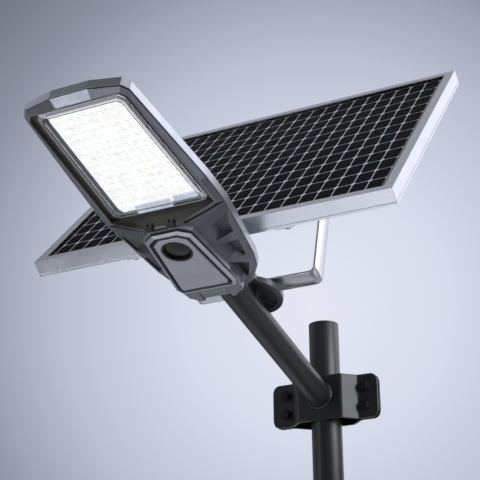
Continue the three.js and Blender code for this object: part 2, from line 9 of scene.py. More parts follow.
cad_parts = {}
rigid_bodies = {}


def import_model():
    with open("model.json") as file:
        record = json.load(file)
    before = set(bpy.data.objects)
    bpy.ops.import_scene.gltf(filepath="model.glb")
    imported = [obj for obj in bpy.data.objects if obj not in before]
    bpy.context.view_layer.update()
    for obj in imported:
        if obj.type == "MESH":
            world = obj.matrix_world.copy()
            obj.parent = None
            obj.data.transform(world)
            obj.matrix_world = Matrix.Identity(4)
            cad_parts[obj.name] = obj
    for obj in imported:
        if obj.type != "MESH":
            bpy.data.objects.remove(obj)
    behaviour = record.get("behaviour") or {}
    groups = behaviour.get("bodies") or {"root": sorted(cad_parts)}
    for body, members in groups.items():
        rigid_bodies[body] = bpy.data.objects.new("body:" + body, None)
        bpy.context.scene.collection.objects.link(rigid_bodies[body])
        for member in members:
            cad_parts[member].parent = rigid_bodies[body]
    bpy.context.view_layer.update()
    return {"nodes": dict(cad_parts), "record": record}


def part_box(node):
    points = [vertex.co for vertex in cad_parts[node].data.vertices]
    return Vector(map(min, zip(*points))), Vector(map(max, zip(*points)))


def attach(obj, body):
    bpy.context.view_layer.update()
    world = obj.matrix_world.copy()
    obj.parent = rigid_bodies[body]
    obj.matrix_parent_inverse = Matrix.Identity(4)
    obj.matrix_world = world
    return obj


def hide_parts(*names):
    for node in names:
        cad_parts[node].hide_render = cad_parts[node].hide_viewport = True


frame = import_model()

bl_info = {
    "name": "Solar street lamp",
    "version": (1, 0, 0),
    "blender": (4, 5, 0),
    "location": "View3D > Sidebar > Lamp",
    "description": "Builds a solar street lamp piece by piece round its engineering model",
    "category": "Object",
}

JOINTS = {j["name"]: j for j in frame["record"]["behaviour"]["joints"]}
MM = 0.001


# ---- colours and shader nodes -----------------------------------------------------------------
def srgb(text, alpha=None):
    """Linear colour from an sRGB hex value."""
    out = []
    for i in (1, 3, 5):
        c = int(text[i:i + 2], 16) / 255
        out.append(c / 12.92 if c <= 0.04045 else ((c + 0.055) / 1.055) ** 2.4)
    if alpha is not None:
        out.append(alpha)
    return out


def set_inputs(tree, node, values):
    """Sets a node's inputs to values, sockets or nodes; a node stands for its first output."""
    for key, value in values.items():
        if isinstance(value, bpy.types.Node):
            value = value.outputs[0]
        if isinstance(value, bpy.types.NodeSocket):
            tree.links.new(value, node.inputs[key])
        else:
            node.inputs[key].default_value = value


def add(tree, kind, inputs=None, stops=(), **settings):
    """Adds a shader node. settings are its attributes; stops are (position, colour) on a ramp."""
    node = tree.nodes.new(kind)
    for key, value in settings.items():
        setattr(node, key, value)
    set_inputs(tree, node, inputs or {})
    if stops:
        elements = node.color_ramp.elements
        while len(elements) < len(stops):
            elements.new(0.5)
        for element, (position, colour) in zip(elements, stops):
            element.position = position
            element.color = (*colour[:3], 1)
    return node


def new_material(name):
    """Fresh node material: returns it with its tree, shader and a vector in millimetres."""
    material = bpy.data.materials.get(name)
    if material:
        bpy.data.materials.remove(material)
    material = bpy.data.materials.new(name)
    material.use_nodes = True
    tree = material.node_tree
    tree.nodes.clear()
    shader = add(tree, "ShaderNodeBsdfPrincipled")
    add(tree, "ShaderNodeOutputMaterial", {"Surface": shader}, location=(400, 0))
    coords = add(tree, "ShaderNodeTexCoord").outputs["Object"]
    mm = add(tree, "ShaderNodeVectorMath", {0: coords, "Scale": 1 / MM}, operation="SCALE")
    return material, tree, shader, mm


def scaled(colour, factor):
    return [min(c * factor, 1) for c in colour]


def powder_coat(name, colour):
    # Polyester powder coat, baked: satin, with a shallow orange peel that breaks up reflections.
    material, tree, shader, mm = new_material(name)
    cloud = add(tree, "ShaderNodeTexNoise", {"Vector": mm, "Scale": 1 / 60, "Detail": 3})
    paint = add(tree, "ShaderNodeValToRGB", {"Fac": cloud},
                [(0.3, scaled(colour, 0.86)), (0.7, scaled(colour, 1.14))])
    patches = add(tree, "ShaderNodeTexNoise", {"Vector": mm, "Scale": 1 / 14, "Detail": 3})
    rough = add(tree, "ShaderNodeMapRange", {"Value": patches, "To Min": 0.36, "To Max": 0.5})
    # peel is about 1.5 mm across; drawn at 2.5 mm so that it still shows
    peel = add(tree, "ShaderNodeTexNoise", {"Vector": mm, "Scale": 1 / 2.5, "Detail": 1})
    relief = add(tree, "ShaderNodeBump", {"Height": peel, "Distance": 0.05 * MM, "Strength": 0.35})
    set_inputs(tree, shader, {"Base Color": paint, "Roughness": rough, "IOR": 1.5, "Metallic": 0.25,
                              "Coat Weight": 0.35, "Coat Roughness": 0.3, "Normal": relief})
    return material


def cast_paint(name, colour, metallic, rough):
    # Silver-grey enamel on die-cast aluminium: metal flake under a thin satin film. Darker copies of it
    # also carry painted shade in the head's recess, pockets and shadow line.
    material, tree, shader, mm = new_material(name)
    # flake is under 0.1 mm; drawn at 1.2 mm
    flake = add(tree, "ShaderNodeTexVoronoi", {"Vector": mm, "Scale": 1 / 1.2}).outputs["Color"]
    cloud = add(tree, "ShaderNodeTexNoise", {"Vector": mm, "Scale": 1 / 45, "Detail": 3})
    faint = add(tree, "ShaderNodeMath", {0: flake, 1: 0.25}, operation="MULTIPLY")
    total = add(tree, "ShaderNodeMath", {0: faint, 1: cloud}, operation="ADD")
    paint = add(tree, "ShaderNodeValToRGB", {"Fac": total},
                [(0.35, scaled(colour, 0.9)), (0.85, scaled(colour, 1.1))])
    patches = add(tree, "ShaderNodeTexNoise", {"Vector": mm, "Scale": 1 / 20, "Detail": 3})
    satin = add(tree, "ShaderNodeMapRange", {"Value": patches, "To Min": rough[0], "To Max": rough[1]})
    grain = add(tree, "ShaderNodeTexNoise", {"Vector": mm, "Scale": 1 / 2})
    relief = add(tree, "ShaderNodeBump", {"Height": grain, "Distance": 0.04 * MM, "Strength": 0.35})
    set_inputs(tree, shader, {"Base Color": paint, "Roughness": satin, "Metallic": metallic,
                              "Coat Weight": 0.25, "Coat Roughness": 0.2, "Normal": relief})
    return material


def anodised(name, colour, along, rough=(0.2, 0.34)):
    # Extruded aluminium, satin anodised: faint die lines run the length of the bar.
    material, tree, shader, mm = new_material(name)
    turned = add(tree, "ShaderNodeVectorRotate", {"Vector": mm, "Angle": -panel_angle()},
                 rotation_type="X_AXIS")
    stretch = (1 / 120, 1, 1) if along == "x" else (1, 1 / 120, 1)
    drawn = add(tree, "ShaderNodeMapping", {"Vector": turned, "Scale": stretch})
    # die lines are about 0.1 mm apart; drawn at 0.8 mm
    lines = add(tree, "ShaderNodeTexNoise",
                {"Vector": drawn, "Scale": 1 / 0.8, "Detail": 3, "Roughness": 0.6})
    cloud = add(tree, "ShaderNodeTexNoise", {"Vector": mm, "Scale": 1 / 70})
    metal = add(tree, "ShaderNodeValToRGB", {"Fac": lines}, [(0.3, scaled(colour, 0.93)), (0.7, colour)])
    satin = add(tree, "ShaderNodeMapRange", {"Value": cloud, "To Min": rough[0], "To Max": rough[1]})
    relief = add(tree, "ShaderNodeBump", {"Height": lines, "Distance": 0.01 * MM, "Strength": 0.12})
    set_inputs(tree, shader, {"Base Color": metal, "Roughness": satin, "Metallic": 1.0,
                              "Normal": relief})
    return material


def brushed_bar(name, colour):
    # Flat aluminium bar, belt-ground lengthwise: the scratches follow the bar round its bends.
    material, tree, shader, mm = new_material(name)
    across = Vector(JOINTS["panel_swivel"]["axis"]).cross(Vector(JOINTS["panel_tilt"]["axis"]))
    side = add(tree, "ShaderNodeVectorMath", {0: mm, 1: across}, operation="DOT_PRODUCT")
    slow = add(tree, "ShaderNodeVectorMath", {0: mm, "Scale": 0.01}, operation="SCALE")
    spread = add(tree, "ShaderNodeCombineXYZ", {"X": side.outputs["Value"]})
    both = add(tree, "ShaderNodeVectorMath", {0: slow, 1: spread}, operation="ADD")
    # grinding marks are about 0.05 mm apart; drawn at 0.5 mm
    lines = add(tree, "ShaderNodeTexNoise",
                {"Vector": both, "Scale": 1 / 0.5, "Detail": 4, "Roughness": 0.7})
    metal = add(tree, "ShaderNodeValToRGB", {"Fac": lines}, [(0.3, scaled(colour, 0.85)), (0.7, colour)])
    satin = add(tree, "ShaderNodeMapRange", {"Value": lines, "To Min": 0.2, "To Max": 0.36})
    relief = add(tree, "ShaderNodeBump", {"Height": lines, "Distance": 0.02 * MM, "Strength": 0.4})
    set_inputs(tree, shader, {"Base Color": metal, "Roughness": satin, "Metallic": 1.0,
                              "Normal": relief})
    return material


def zinc_plate(name, colour):
    # Bright zinc plate on steel fasteners: cool silver with faint cloudy passivation.
    material, tree, shader, mm = new_material(name)
    cloud = add(tree, "ShaderNodeTexNoise", {"Vector": mm, "Scale": 1 / 4, "Detail": 3})
    warm = [colour[0] * 1.02, colour[1] * 0.97, colour[2] * 0.88]
    plate = add(tree, "ShaderNodeValToRGB", {"Fac": cloud}, [(0.35, colour), (0.75, warm)])
    satin = add(tree, "ShaderNodeMapRange", {"Value": cloud, "To Min": 0.22, "To Max": 0.4})
    grain = add(tree, "ShaderNodeTexNoise", {"Vector": mm, "Scale": 1 / 0.8})
    relief = add(tree, "ShaderNodeBump", {"Height": grain, "Distance": 0.02 * MM, "Strength": 0.3})
    set_inputs(tree, shader, {"Base Color": plate, "Roughness": satin, "Metallic": 1.0,
                              "Normal": relief})
    return material


def black_oxide(name, colour):
    # Black-coated steel: near-black with a dull sheen and slightly worn, lighter patches.
    material, tree, shader, mm = new_material(name)
    cloud = add(tree, "ShaderNodeTexNoise", {"Vector": mm, "Scale": 1 / 3, "Detail": 4, "Roughness": 0.6})
    worn = [c + 0.03 for c in colour]
    coat = add(tree, "ShaderNodeValToRGB", {"Fac": cloud}, [(0.45, colour), (0.8, worn)])
    dull = add(tree, "ShaderNodeMapRange", {"Value": cloud, "To Min": 0.35, "To Max": 0.55})
    grain = add(tree, "ShaderNodeTexNoise", {"Vector": mm, "Scale": 1 / 0.8})
    relief = add(tree, "ShaderNodeBump", {"Height": grain, "Distance": 0.03 * MM, "Strength": 0.4})
    set_inputs(tree, shader, {"Base Color": coat, "Roughness": dull, "Metallic": 0.5,
                              "Normal": relief})
    return material


def moulded(name, colour, rough=(0.4, 0.55)):
    # Injection-moulded ABS: even colour, fine spark-eroded texture, soft highlights.
    material, tree, shader, mm = new_material(name)
    cloud = add(tree, "ShaderNodeTexNoise", {"Vector": mm, "Scale": 1 / 12})
    light = [min(c * 1.2 + 0.004, 1) for c in colour]
    plastic = add(tree, "ShaderNodeValToRGB", {"Fac": cloud}, [(0.3, colour), (0.8, light)])
    satin = add(tree, "ShaderNodeMapRange", {"Value": cloud, "To Min": rough[0], "To Max": rough[1]})
    # the eroded texture is about 0.1 mm; drawn at 1.2 mm
    grain = add(tree, "ShaderNodeTexNoise", {"Vector": mm, "Scale": 1 / 1.2})
    relief = add(tree, "ShaderNodeBump", {"Height": grain, "Distance": 0.04 * MM, "Strength": 0.5})
    set_inputs(tree, shader, {"Base Color": plastic, "Roughness": satin, "IOR": 1.54,
                              "Normal": relief})
    return material


def infrared_window(name, colour):
    # Black infrared-clear polyethylene over the sensor: ribbed in rings, softly glossy.
    material, tree, shader, mm = new_material(name)
    centre = Vector(arm_frame() @ Vector((0, -SENSOR_S * MM, 0))) * 1000
    uphill = arm_frame().to_3x3() @ Vector((0, 1, 0))
    offset = add(tree, "ShaderNodeVectorMath", {0: mm, 1: centre}, operation="SUBTRACT")
    x = add(tree, "ShaderNodeVectorMath", {0: offset, 1: (1, 0, 0)}, operation="DOT_PRODUCT")
    y = add(tree, "ShaderNodeVectorMath", {0: offset, 1: uphill}, operation="DOT_PRODUCT")
    plane = add(tree, "ShaderNodeCombineXYZ", {"X": x.outputs["Value"], "Y": y.outputs["Value"]})
    radius = add(tree, "ShaderNodeVectorMath", {0: plane}, operation="LENGTH").outputs["Value"]
    # Fresnel rings every 2.5 mm
    turns = add(tree, "ShaderNodeMath", {0: radius, 1: 2 * math.pi / 2.5}, operation="MULTIPLY")
    rings = add(tree, "ShaderNodeMath", {0: turns}, operation="SINE")
    cloud = add(tree, "ShaderNodeTexNoise", {"Vector": mm, "Scale": 1 / 8})
    tint = add(tree, "ShaderNodeValToRGB", {"Fac": cloud}, [(0.3, colour), (0.8, scaled(colour, 1.6))])
    relief = add(tree, "ShaderNodeBump", {"Height": rings, "Distance": 0.05 * MM, "Strength": 0.25})
    set_inputs(tree, shader, {"Base Color": tint, "Roughness": 0.32, "IOR": 1.51, "Normal": relief})
    return material


def clear_polycarbonate(name, colour, painted_highlight=0.0):
    # Clear moulded polycarbonate: glass-like, faintly cool, with moulding waves in the surface.
    material, tree, shader, mm = new_material(name)
    wave = add(tree, "ShaderNodeTexNoise", {"Vector": mm, "Scale": 1 / 25})
    tint = add(tree, "ShaderNodeValToRGB", {"Fac": wave}, [(0.3, scaled(colour, 0.94)), (0.8, colour)])
    patches = add(tree, "ShaderNodeTexNoise", {"Vector": mm, "Scale": 1 / 9, "Detail": 3})
    gloss = add(tree, "ShaderNodeMapRange", {"Value": patches, "To Min": 0.03, "To Max": 0.09})
    relief = add(tree, "ShaderNodeBump", {"Height": wave, "Distance": 0.1 * MM, "Strength": 0.3})
    set_inputs(tree, shader, {"Base Color": tint, "Roughness": gloss, "IOR": 1.585,
                              "Transmission Weight": 1.0, "Normal": relief})
    if painted_highlight:
        # painted highlight: a faint bluish-white glow on the cut or bevelled edge stands in for the
        # reflections seen there
        set_inputs(tree, shader, {"Emission Color": srgb("#e9edf6", 1), "Emission Strength": painted_highlight})
    return material


def lit_acrylic(name, colour, strength, spread, dip):
    # Clear acrylic optics over lit emitters: a nearly even bright white, slightly mottled.
    material, tree, shader, mm = new_material(name)
    grain = add(tree, "ShaderNodeTexNoise",
                {"Vector": mm, "Scale": 1 / spread, "Detail": 3, "Roughness": 0.6})
    glow = add(tree, "ShaderNodeValToRGB", {"Fac": grain}, [(0.35, scaled(colour, dip)), (0.62, colour)])
    unlit = add(tree, "ShaderNodeValToRGB", {"Fac": grain},
                [(0.3, scaled(colour, 0.2)), (0.7, scaled(colour, 0.3))])
    relief = add(tree, "ShaderNodeBump", {"Height": grain, "Distance": 0.1 * MM, "Strength": 0.3})
    set_inputs(tree, shader, {"Base Color": unlit, "Emission Color": glow,
                              "Emission Strength": strength, "Roughness": 0.12, "IOR": 1.49,
                              "Normal": relief})
    return material


def silicone(name, colour):
    # Extruded silicone rubber: matt, dust-holding, nearly black. The same look also draws the painted
    # shade on the floor of the cover's groove.
    material, tree, shader, mm = new_material(name)
    dust = add(tree, "ShaderNodeTexNoise", {"Vector": mm, "Scale": 1 / 5, "Detail": 4, "Roughness": 0.7})
    dusty = [c + 0.03 for c in colour]
    rubber = add(tree, "ShaderNodeValToRGB", {"Fac": dust}, [(0.4, colour), (0.85, dusty)])
    matt = add(tree, "ShaderNodeMapRange", {"Value": dust, "To Min": 0.6, "To Max": 0.85})
    grain = add(tree, "ShaderNodeTexNoise", {"Vector": mm, "Scale": 1 / 1.5})
    relief = add(tree, "ShaderNodeBump", {"Height": grain, "Distance": 0.05 * MM, "Strength": 0.4})
    set_inputs(tree, shader, {"Base Color": rubber, "Roughness": matt, "IOR": 1.41,
                              "Sheen Weight": 0.15, "Normal": relief})
    return material


def silicon_cell(name, colour):
    # Textured monocrystalline silicon under glass: blue-black, with hair-fine silver fingers.
    material, tree, shader, mm = new_material(name)
    across = add(tree, "ShaderNodeSeparateXYZ", {"Vector": mm}).outputs["X"]
    # contact fingers are 1.5 mm apart
    turns = add(tree, "ShaderNodeMath", {0: across, 1: 2 * math.pi / 1.5}, operation="MULTIPLY")
    fingers = add(tree, "ShaderNodeMath", {0: turns}, operation="SINE")
    line = add(tree, "ShaderNodeMapRange",
               {"Value": fingers, "From Min": 0.9, "From Max": 1.0, "To Min": 0.0, "To Max": 0.02})
    patches = add(tree, "ShaderNodeTexNoise", {"Vector": mm, "Scale": 1 / 50})
    cloud = add(tree, "ShaderNodeValToRGB", {"Fac": patches}, [(0.3, colour), (0.8, scaled(colour, 1.9))])
    silver = srgb("#8d8f96", 1)
    # inputs 6 and 7 of a colour mix are its two colours, and output 2 is the result
    mix = add(tree, "ShaderNodeMix", {"Factor": line, 6: cloud, 7: silver}, data_type="RGBA")
    grain = add(tree, "ShaderNodeTexNoise", {"Vector": mm, "Scale": 1 / 3})
    relief = add(tree, "ShaderNodeBump", {"Height": grain, "Distance": 0.02 * MM, "Strength": 0.2})
    set_inputs(tree, shader, {"Base Color": mix.outputs[2], "Roughness": 0.4,
                              "Specular IOR Level": 0.01, "Coat Weight": 0.01,
                              "Coat Roughness": 0.08, "Normal": relief})
    return material


def low_iron_glass(name, colour):
    # Low-iron solar glass, antireflex etched: almost invisible, with a soft surface glint.
    material, tree, shader, mm = new_material(name)
    wave = add(tree, "ShaderNodeTexNoise", {"Vector": mm, "Scale": 1 / 30})
    tint = add(tree, "ShaderNodeValToRGB", {"Fac": wave}, [(0.3, scaled(colour, 0.95)), (0.8, colour)])
    gloss = add(tree, "ShaderNodeMapRange", {"Value": wave, "To Min": 0.05, "To Max": 0.12})
    relief = add(tree, "ShaderNodeBump", {"Height": wave, "Distance": 0.02 * MM, "Strength": 0.2})
    set_inputs(tree, shader, {"Base Color": tint, "Roughness": gloss, "Alpha": 0.012, "IOR": 1.5,
                              "Normal": relief})
    return material


def plain_film(name, colour, rough=(0.45, 0.6), size=10):
    # Flexible plastic film or lacquer: flat colour, barely mottled, slightly wavy.
    material, tree, shader, mm = new_material(name)
    cloud = add(tree, "ShaderNodeTexNoise", {"Vector": mm, "Scale": 1 / size, "Detail": 3})
    tint = add(tree, "ShaderNodeValToRGB", {"Fac": cloud}, [(0.3, scaled(colour, 0.93)), (0.8, colour)])
    satin = add(tree, "ShaderNodeMapRange", {"Value": cloud, "To Min": rough[0], "To Max": rough[1]})
    relief = add(tree, "ShaderNodeBump", {"Height": cloud, "Distance": 0.05 * MM, "Strength": 0.3})
    set_inputs(tree, shader, {"Base Color": tint, "Roughness": satin, "IOR": 1.45,
                              "Normal": relief})
    return material


# ---- frames of the assembly -------------------------------------------------------------------
def lamp_rise():
    axis = JOINTS["panel_swivel"]["axis"]
    return math.atan2(axis[1], axis[2])


def panel_angle():
    return bpy.context.scene.lamp_sizes.panel_tilt


def arm_frame():
    """Frame of the arm: x across, minus y along the arm, z square to it."""
    x, y, z = JOINTS["panel_swivel"]["pos_m"]
    crossing = z + y * math.tan(lamp_rise())
    return Matrix.Translation((0, 0, crossing)) @ Matrix.Rotation(-lamp_rise(), 4, "X")


def panel_frame():
    """Frame of the panel: origin on the tilt pivot, y up the slope, z towards the sun."""
    return Matrix.Translation(JOINTS["panel_tilt"]["pos_m"]) @ Matrix.Rotation(panel_angle(), 4, "X")


# ---- mesh helpers: all lengths in millimetres, in the frame given by a matrix --------------------
def symmetric(half, z):
    """Closed loop from the right half of an outline given as (x, distance along the arm)."""
    right = [Vector((x, -s, z)) for x, s in half]
    left = [Vector((-x, -s, z)) for x, s in reversed(half)]
    return right + left


def ring(radius, z, count, phase=0.0):
    step = 2 * math.pi / count
    return [Vector((radius * math.cos(i * step + phase), radius * math.sin(i * step + phase), z))
            for i in range(count)]


def bridge(bm, loops, cap_start=True, cap_end=True, closed=False, slot=0):
    """Joins successive loops of equal length with quads and caps the ends."""
    rows = [[bm.verts.new(p) for p in loop] for loop in loops]
    count = len(rows[0])
    pairs = list(zip(rows, rows[1:]))
    if closed:
        pairs.append((rows[-1], rows[0]))
    made = []
    for a, b in pairs:
        for i in range(count):
            j = (i + 1) % count
            made.append(bm.faces.new((a[i], a[j], b[j], b[i])))
    if cap_start and not closed:
        made.append(bm.faces.new(list(reversed(rows[0]))))
    if cap_end and not closed:
        made.append(bm.faces.new(rows[-1]))
    for face in made:
        face.material_index = slot
    return made


def moved(loops, matrix):
    return [[matrix @ p for p in loop] for loop in loops]


def finish_piece(bm, name, matrix, body, materials, replaces=(), bevel=0.0, segments=2,
                 angle=30.0, sharp=None):
    """Turns a bmesh in millimetres into an object in place, riding on its body."""
    bmesh.ops.recalc_face_normals(bm, faces=bm.faces)
    for v in bm.verts:
        v.co = matrix @ (v.co * MM)
    for face in bm.faces:
        face.smooth = True
    mesh = bpy.data.meshes.new(name)
    bm.to_mesh(mesh)
    bm.free()
    obj = bpy.data.objects.new(name, mesh)
    bpy.context.scene.collection.objects.link(obj)
    for material in materials:
        mesh.materials.append(material)
    if not bevel:
        mesh.set_sharp_from_angle(angle=math.radians(sharp or angle))
    else:
        soften(obj, bevel, segments, angle)
    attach(obj, body)
    if replaces:
        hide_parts(*replaces)
    return obj


def soften(obj, width, segments=2, angle=30.0):
    """Rounds every edge sharper than angle by width millimetres."""
    mod = obj.modifiers.new("Rounded edges", "BEVEL")
    mod.width = width * MM
    mod.segments = segments
    mod.limit_method = "ANGLE"
    mod.angle_limit = math.radians(angle)
    mod.harden_normals = True
    mod.use_clamp_overlap = True
    mod.miter_outer = "MITER_ARC"


def dress(node, material, width=0.6, segments=2, angle=25.0):
    """Gives an engineering node its material and rounded edges without touching its mesh."""
    obj = frame["nodes"][node]
    for slot in obj.material_slots:
        slot.link = "OBJECT"
        slot.material = material
    if not obj.material_slots:
        obj.data.materials.append(material)
    weld = obj.modifiers.new("Weld", "WELD")
    weld.merge_threshold = 0.00002
    flat = obj.modifiers.new("Whole faces", "DECIMATE")
    flat.decimate_type = "DISSOLVE"
    flat.angle_limit = math.radians(1.0)
    for face in obj.data.polygons:
        face.use_smooth = True
    if width:
        soften(obj, width, segments, angle)
    return obj


def hexagon(across, z, count=48, limit=None):
    """Hexagonal loop, cut back to a circle of radius limit at its corners."""
    out = []
    for i in range(count):
        a = 2 * math.pi * i / count
        local = (a + math.pi / 6) % (math.pi / 3) - math.pi / 6
        r = across / 2 / math.cos(local)
        if limit:
            r = min(r, limit)
        out.append(Vector((r * math.cos(a), r * math.sin(a), z)))
    return out


def hex_bolt(bm, matrix, across, head, shank, length, washer=0.0, threads=True):
    """Hexagon bolt: head above z = 0 with a chamfered top, threaded shank below."""
    corner = across / 2 / math.cos(math.pi / 6)
    apothem = across / 2
    loops = []
    if washer:
        loops += [ring(washer, 0, 48), ring(washer, 1.2, 48), ring(washer - 0.5, 1.7, 48)]
        base = 1.7
    else:
        base = 0
    loops += [hexagon(across, base), hexagon(across, head - 1.6, limit=corner),
              hexagon(across, head - 0.8, limit=(corner + apothem) / 2),
              hexagon(across, head, limit=apothem * 0.96), ring(apothem * 0.7, head, 48)]
    bridge(bm, moved(loops, matrix))
    rings = [ring(shank, -0.01, 24)]
    z = -2.0
    rings.append(ring(shank, z, 24))
    pitch = 1.5
    while threads and z - pitch > -length + 1.0:
        rings.append(ring(shank - 0.7, z - pitch / 2, 24))
        rings.append(ring(shank, z - pitch, 24))
        z -= pitch
    rings += [ring(shank, -length + 0.8, 24), ring(shank - 0.8, -length, 24)]
    bridge(bm, moved(rings, matrix))


def hex_nut(bm, matrix, across, height, hole):
    """Hexagon nut between z = 0 and height, chamfered on both faces."""
    corner = across / 2 / math.cos(math.pi / 6)
    apothem = across / 2
    loops = [ring(hole, 0.5, 48), ring(hole + 0.5, 0, 48), hexagon(across, 0, limit=apothem * 0.98),
             hexagon(across, 0.8, limit=(corner + apothem) / 2), hexagon(across, 1.5, limit=corner),
             hexagon(across, height - 1.5, limit=corner),
             hexagon(across, height - 0.8, limit=(corner + apothem) / 2),
             hexagon(across, height, limit=apothem * 0.98), ring(hole + 0.5, height, 48),
             ring(hole, height - 0.5, 48)]
    bridge(bm, moved(loops, matrix), closed=True)


def hull(levels):
    """Faceted body spanned by loops of points, with its flat faces made whole."""
    bm = bmesh.new()
    for loop in levels:
        for p in loop:
            bm.verts.new(p)
    made = bmesh.ops.convex_hull(bm, input=bm.verts)
    spare = [v for v in made["geom_interior"] + made["geom_unused"]
             if isinstance(v, bmesh.types.BMVert) and v.is_valid]
    bmesh.ops.delete(bm, geom=list(set(spare)), context="VERTS")
    bmesh.ops.dissolve_limit(bm, angle_limit=math.radians(0.6), verts=bm.verts, edges=bm.edges)
    return as_mesh(bm)


def prism(loop, z0, z1):
    """Upright body over an outline."""
    bm = bmesh.new()
    bridge(bm, [[Vector((p.x, p.y, z)) for p in loop] for z in (z0, z1)])
    return as_mesh(bm)


def rod(radius, z0, z1, x, y, count=96):
    """Upright round bar at (x, y)."""
    bm = bmesh.new()
    bridge(bm, [[p + Vector((x, y, 0)) for p in ring(radius, z, count)] for z in (z0, z1)])
    return as_mesh(bm)


def long_rod(radius, s0, s1, count=96):
    """Round bar along the arm."""
    bm = bmesh.new()
    bridge(bm, [[Vector((p.x, -s, p.y)) for p in ring(radius, 0, count)] for s in (s0, s1)])
    return as_mesh(bm)


def block(x0, x1, y0, y1, z0, z1):
    return prism([Vector((x0, y0, 0)), Vector((x1, y0, 0)), Vector((x1, y1, 0)), Vector((x0, y1, 0))],
                 z0, z1)


def as_mesh(bm):
    """Turns a bmesh into a mesh, for use as a body or a cutter."""
    bmesh.ops.recalc_face_normals(bm, faces=bm.faces)
    mesh = bpy.data.meshes.new("shape")
    bm.to_mesh(mesh)
    bm.free()
    return mesh


def combine(base, *steps):
    """Adds and cuts whole bodies: steps are ("+", mesh) or ("-", mesh). Returns a bmesh."""
    scene = bpy.context.scene.collection.objects
    target = bpy.data.objects.new("shape", base)
    scene.link(target)
    tools = []
    # empty slots, so that a tinted cutter's slot number reaches the faces it cuts
    for mesh in [base, *(step[1] for step in steps)]:
        for _ in range(3):
            mesh.materials.append(None)
    for sign, mesh in steps:
        tool = bpy.data.objects.new("tool", mesh)
        scene.link(tool)
        tools.append(tool)
        mod = target.modifiers.new("Combine", "BOOLEAN")
        mod.operation = "UNION" if sign == "+" else "DIFFERENCE"
        mod.solver = "EXACT"
        mod.object = tool
    graph = bpy.context.evaluated_depsgraph_get()
    result = bpy.data.meshes.new_from_object(target.evaluated_get(graph))
    for obj in [target, *tools]:
        mesh = obj.data
        bpy.data.objects.remove(obj)
        bpy.data.meshes.remove(mesh)
    bm = bmesh.new()
    bm.from_mesh(result)
    bpy.data.meshes.remove(result)
    bmesh.ops.remove_doubles(bm, verts=bm.verts, dist=0.002)
    bmesh.ops.dissolve_limit(bm, angle_limit=math.radians(0.6), verts=bm.verts, edges=bm.edges)
    return bm


def tinted(mesh, slot):
    """Cutter whose cut faces take the given material slot."""
    for face in mesh.polygons:
        face.material_index = slot
    return mesh


def paint_faces(bm, slot, test):
    """Gives a material slot to the faces whose centre and normal pass the test."""
    bm.normal_update()
    for face in bm.faces:
        if test(face.calc_center_median(), face.normal):
            face.material_index = slot


def rounded_path(points, radius, steps):
    """2D polyline with its inner corners turned into arcs; returns (point, direction) pairs."""
    pts = [Vector(p) for p in points]
    out = [(pts[0], (pts[1] - pts[0]).normalized())]
    for a, b, c in zip(pts, pts[1:], pts[2:]):
        u, v = (b - a).normalized(), (c - b).normalized()
        turn = math.acos(max(-1, min(1, u.dot(v))))
        reach = radius * math.tan(turn / 2)
        sign = 1 if u.x * v.y - u.y * v.x > 0 else -1
        centre = b - u * reach + Vector((-u.y, u.x)) * radius * sign
        for i in range(steps + 1):
            t = turn * i / steps * sign
            d = Vector((u.x * math.cos(t) - u.y * math.sin(t), u.x * math.sin(t) + u.y * math.cos(t)))
            out.append((centre - Vector((-d.y, d.x)) * radius * sign, d))
    out.append((pts[-1], (pts[-1] - pts[-2]).normalized()))
    return out


# ---- settings a user would change ----------------------------------------------------------------
class LAMP_PG_sizes(bpy.types.PropertyGroup):
    """Main sizes of the lamp"""

    mast_radius: FloatProperty(name="Mast radius", description="Outer radius of the mast",
                               default=0.030, min=0.01, subtype="DISTANCE", unit="LENGTH")
    arm_radius: FloatProperty(name="Arm radius", description="Outer radius of the arm tube",
                              default=0.025, min=0.01, subtype="DISTANCE", unit="LENGTH")
    plate: FloatProperty(name="Clamp plate", description="Thickness of the clamp's plate",
                         default=0.005, min=0.001, subtype="DISTANCE", unit="LENGTH")
    panel_tilt: FloatProperty(name="Panel tilt", description="Panel angle above level at rest",
                              default=math.radians(45.9), subtype="ANGLE", unit="ROTATION")
    columns: IntProperty(name="Cell columns", description="Solar cells across the panel",
                         default=21, min=1)
    rows: IntProperty(name="Cell rows", description="Solar cells up the panel", default=12, min=1)
    cell_gap: FloatProperty(name="Cell gap", description="Gap between neighbouring cells",
                            default=0.0021, min=0.0002, subtype="DISTANCE", unit="LENGTH")
    light: FloatProperty(name="Light", description="Strength of the lit optics", default=1.17, min=0.0)


class LAMP_PG_colours(bpy.types.PropertyGroup):
    """Colours of the lamp's finishes"""

    charcoal: FloatVectorProperty(name="Charcoal", description="Powder coat of mast, arm and clamp",
                                  default=srgb("#18191b"), subtype="COLOR", min=0, max=1)
    silver: FloatVectorProperty(name="Silver", description="Paint of the head's upper shell",
                                default=srgb("#a2a4aa"), subtype="COLOR", min=0, max=1)
    grey: FloatVectorProperty(name="Grey", description="Paint of the head's underside",
                              default=srgb("#7c7e83"), subtype="COLOR", min=0, max=1)
    cover: FloatVectorProperty(name="Cover", description="Paint of the rear cover",
                               default=srgb("#b2b4ba"), subtype="COLOR", min=0, max=1)
    aluminium: FloatVectorProperty(name="Aluminium", description="Panel frame and bracket",
                                   default=srgb("#d9dbe0"), subtype="COLOR", min=0, max=1)
    cells: FloatVectorProperty(name="Cells", description="Solar cells",
                               default=srgb("#040408"), subtype="COLOR", min=0, max=1)


def sizes():
    return bpy.context.scene.lamp_sizes


def colours():
    return bpy.context.scene.lamp_colours


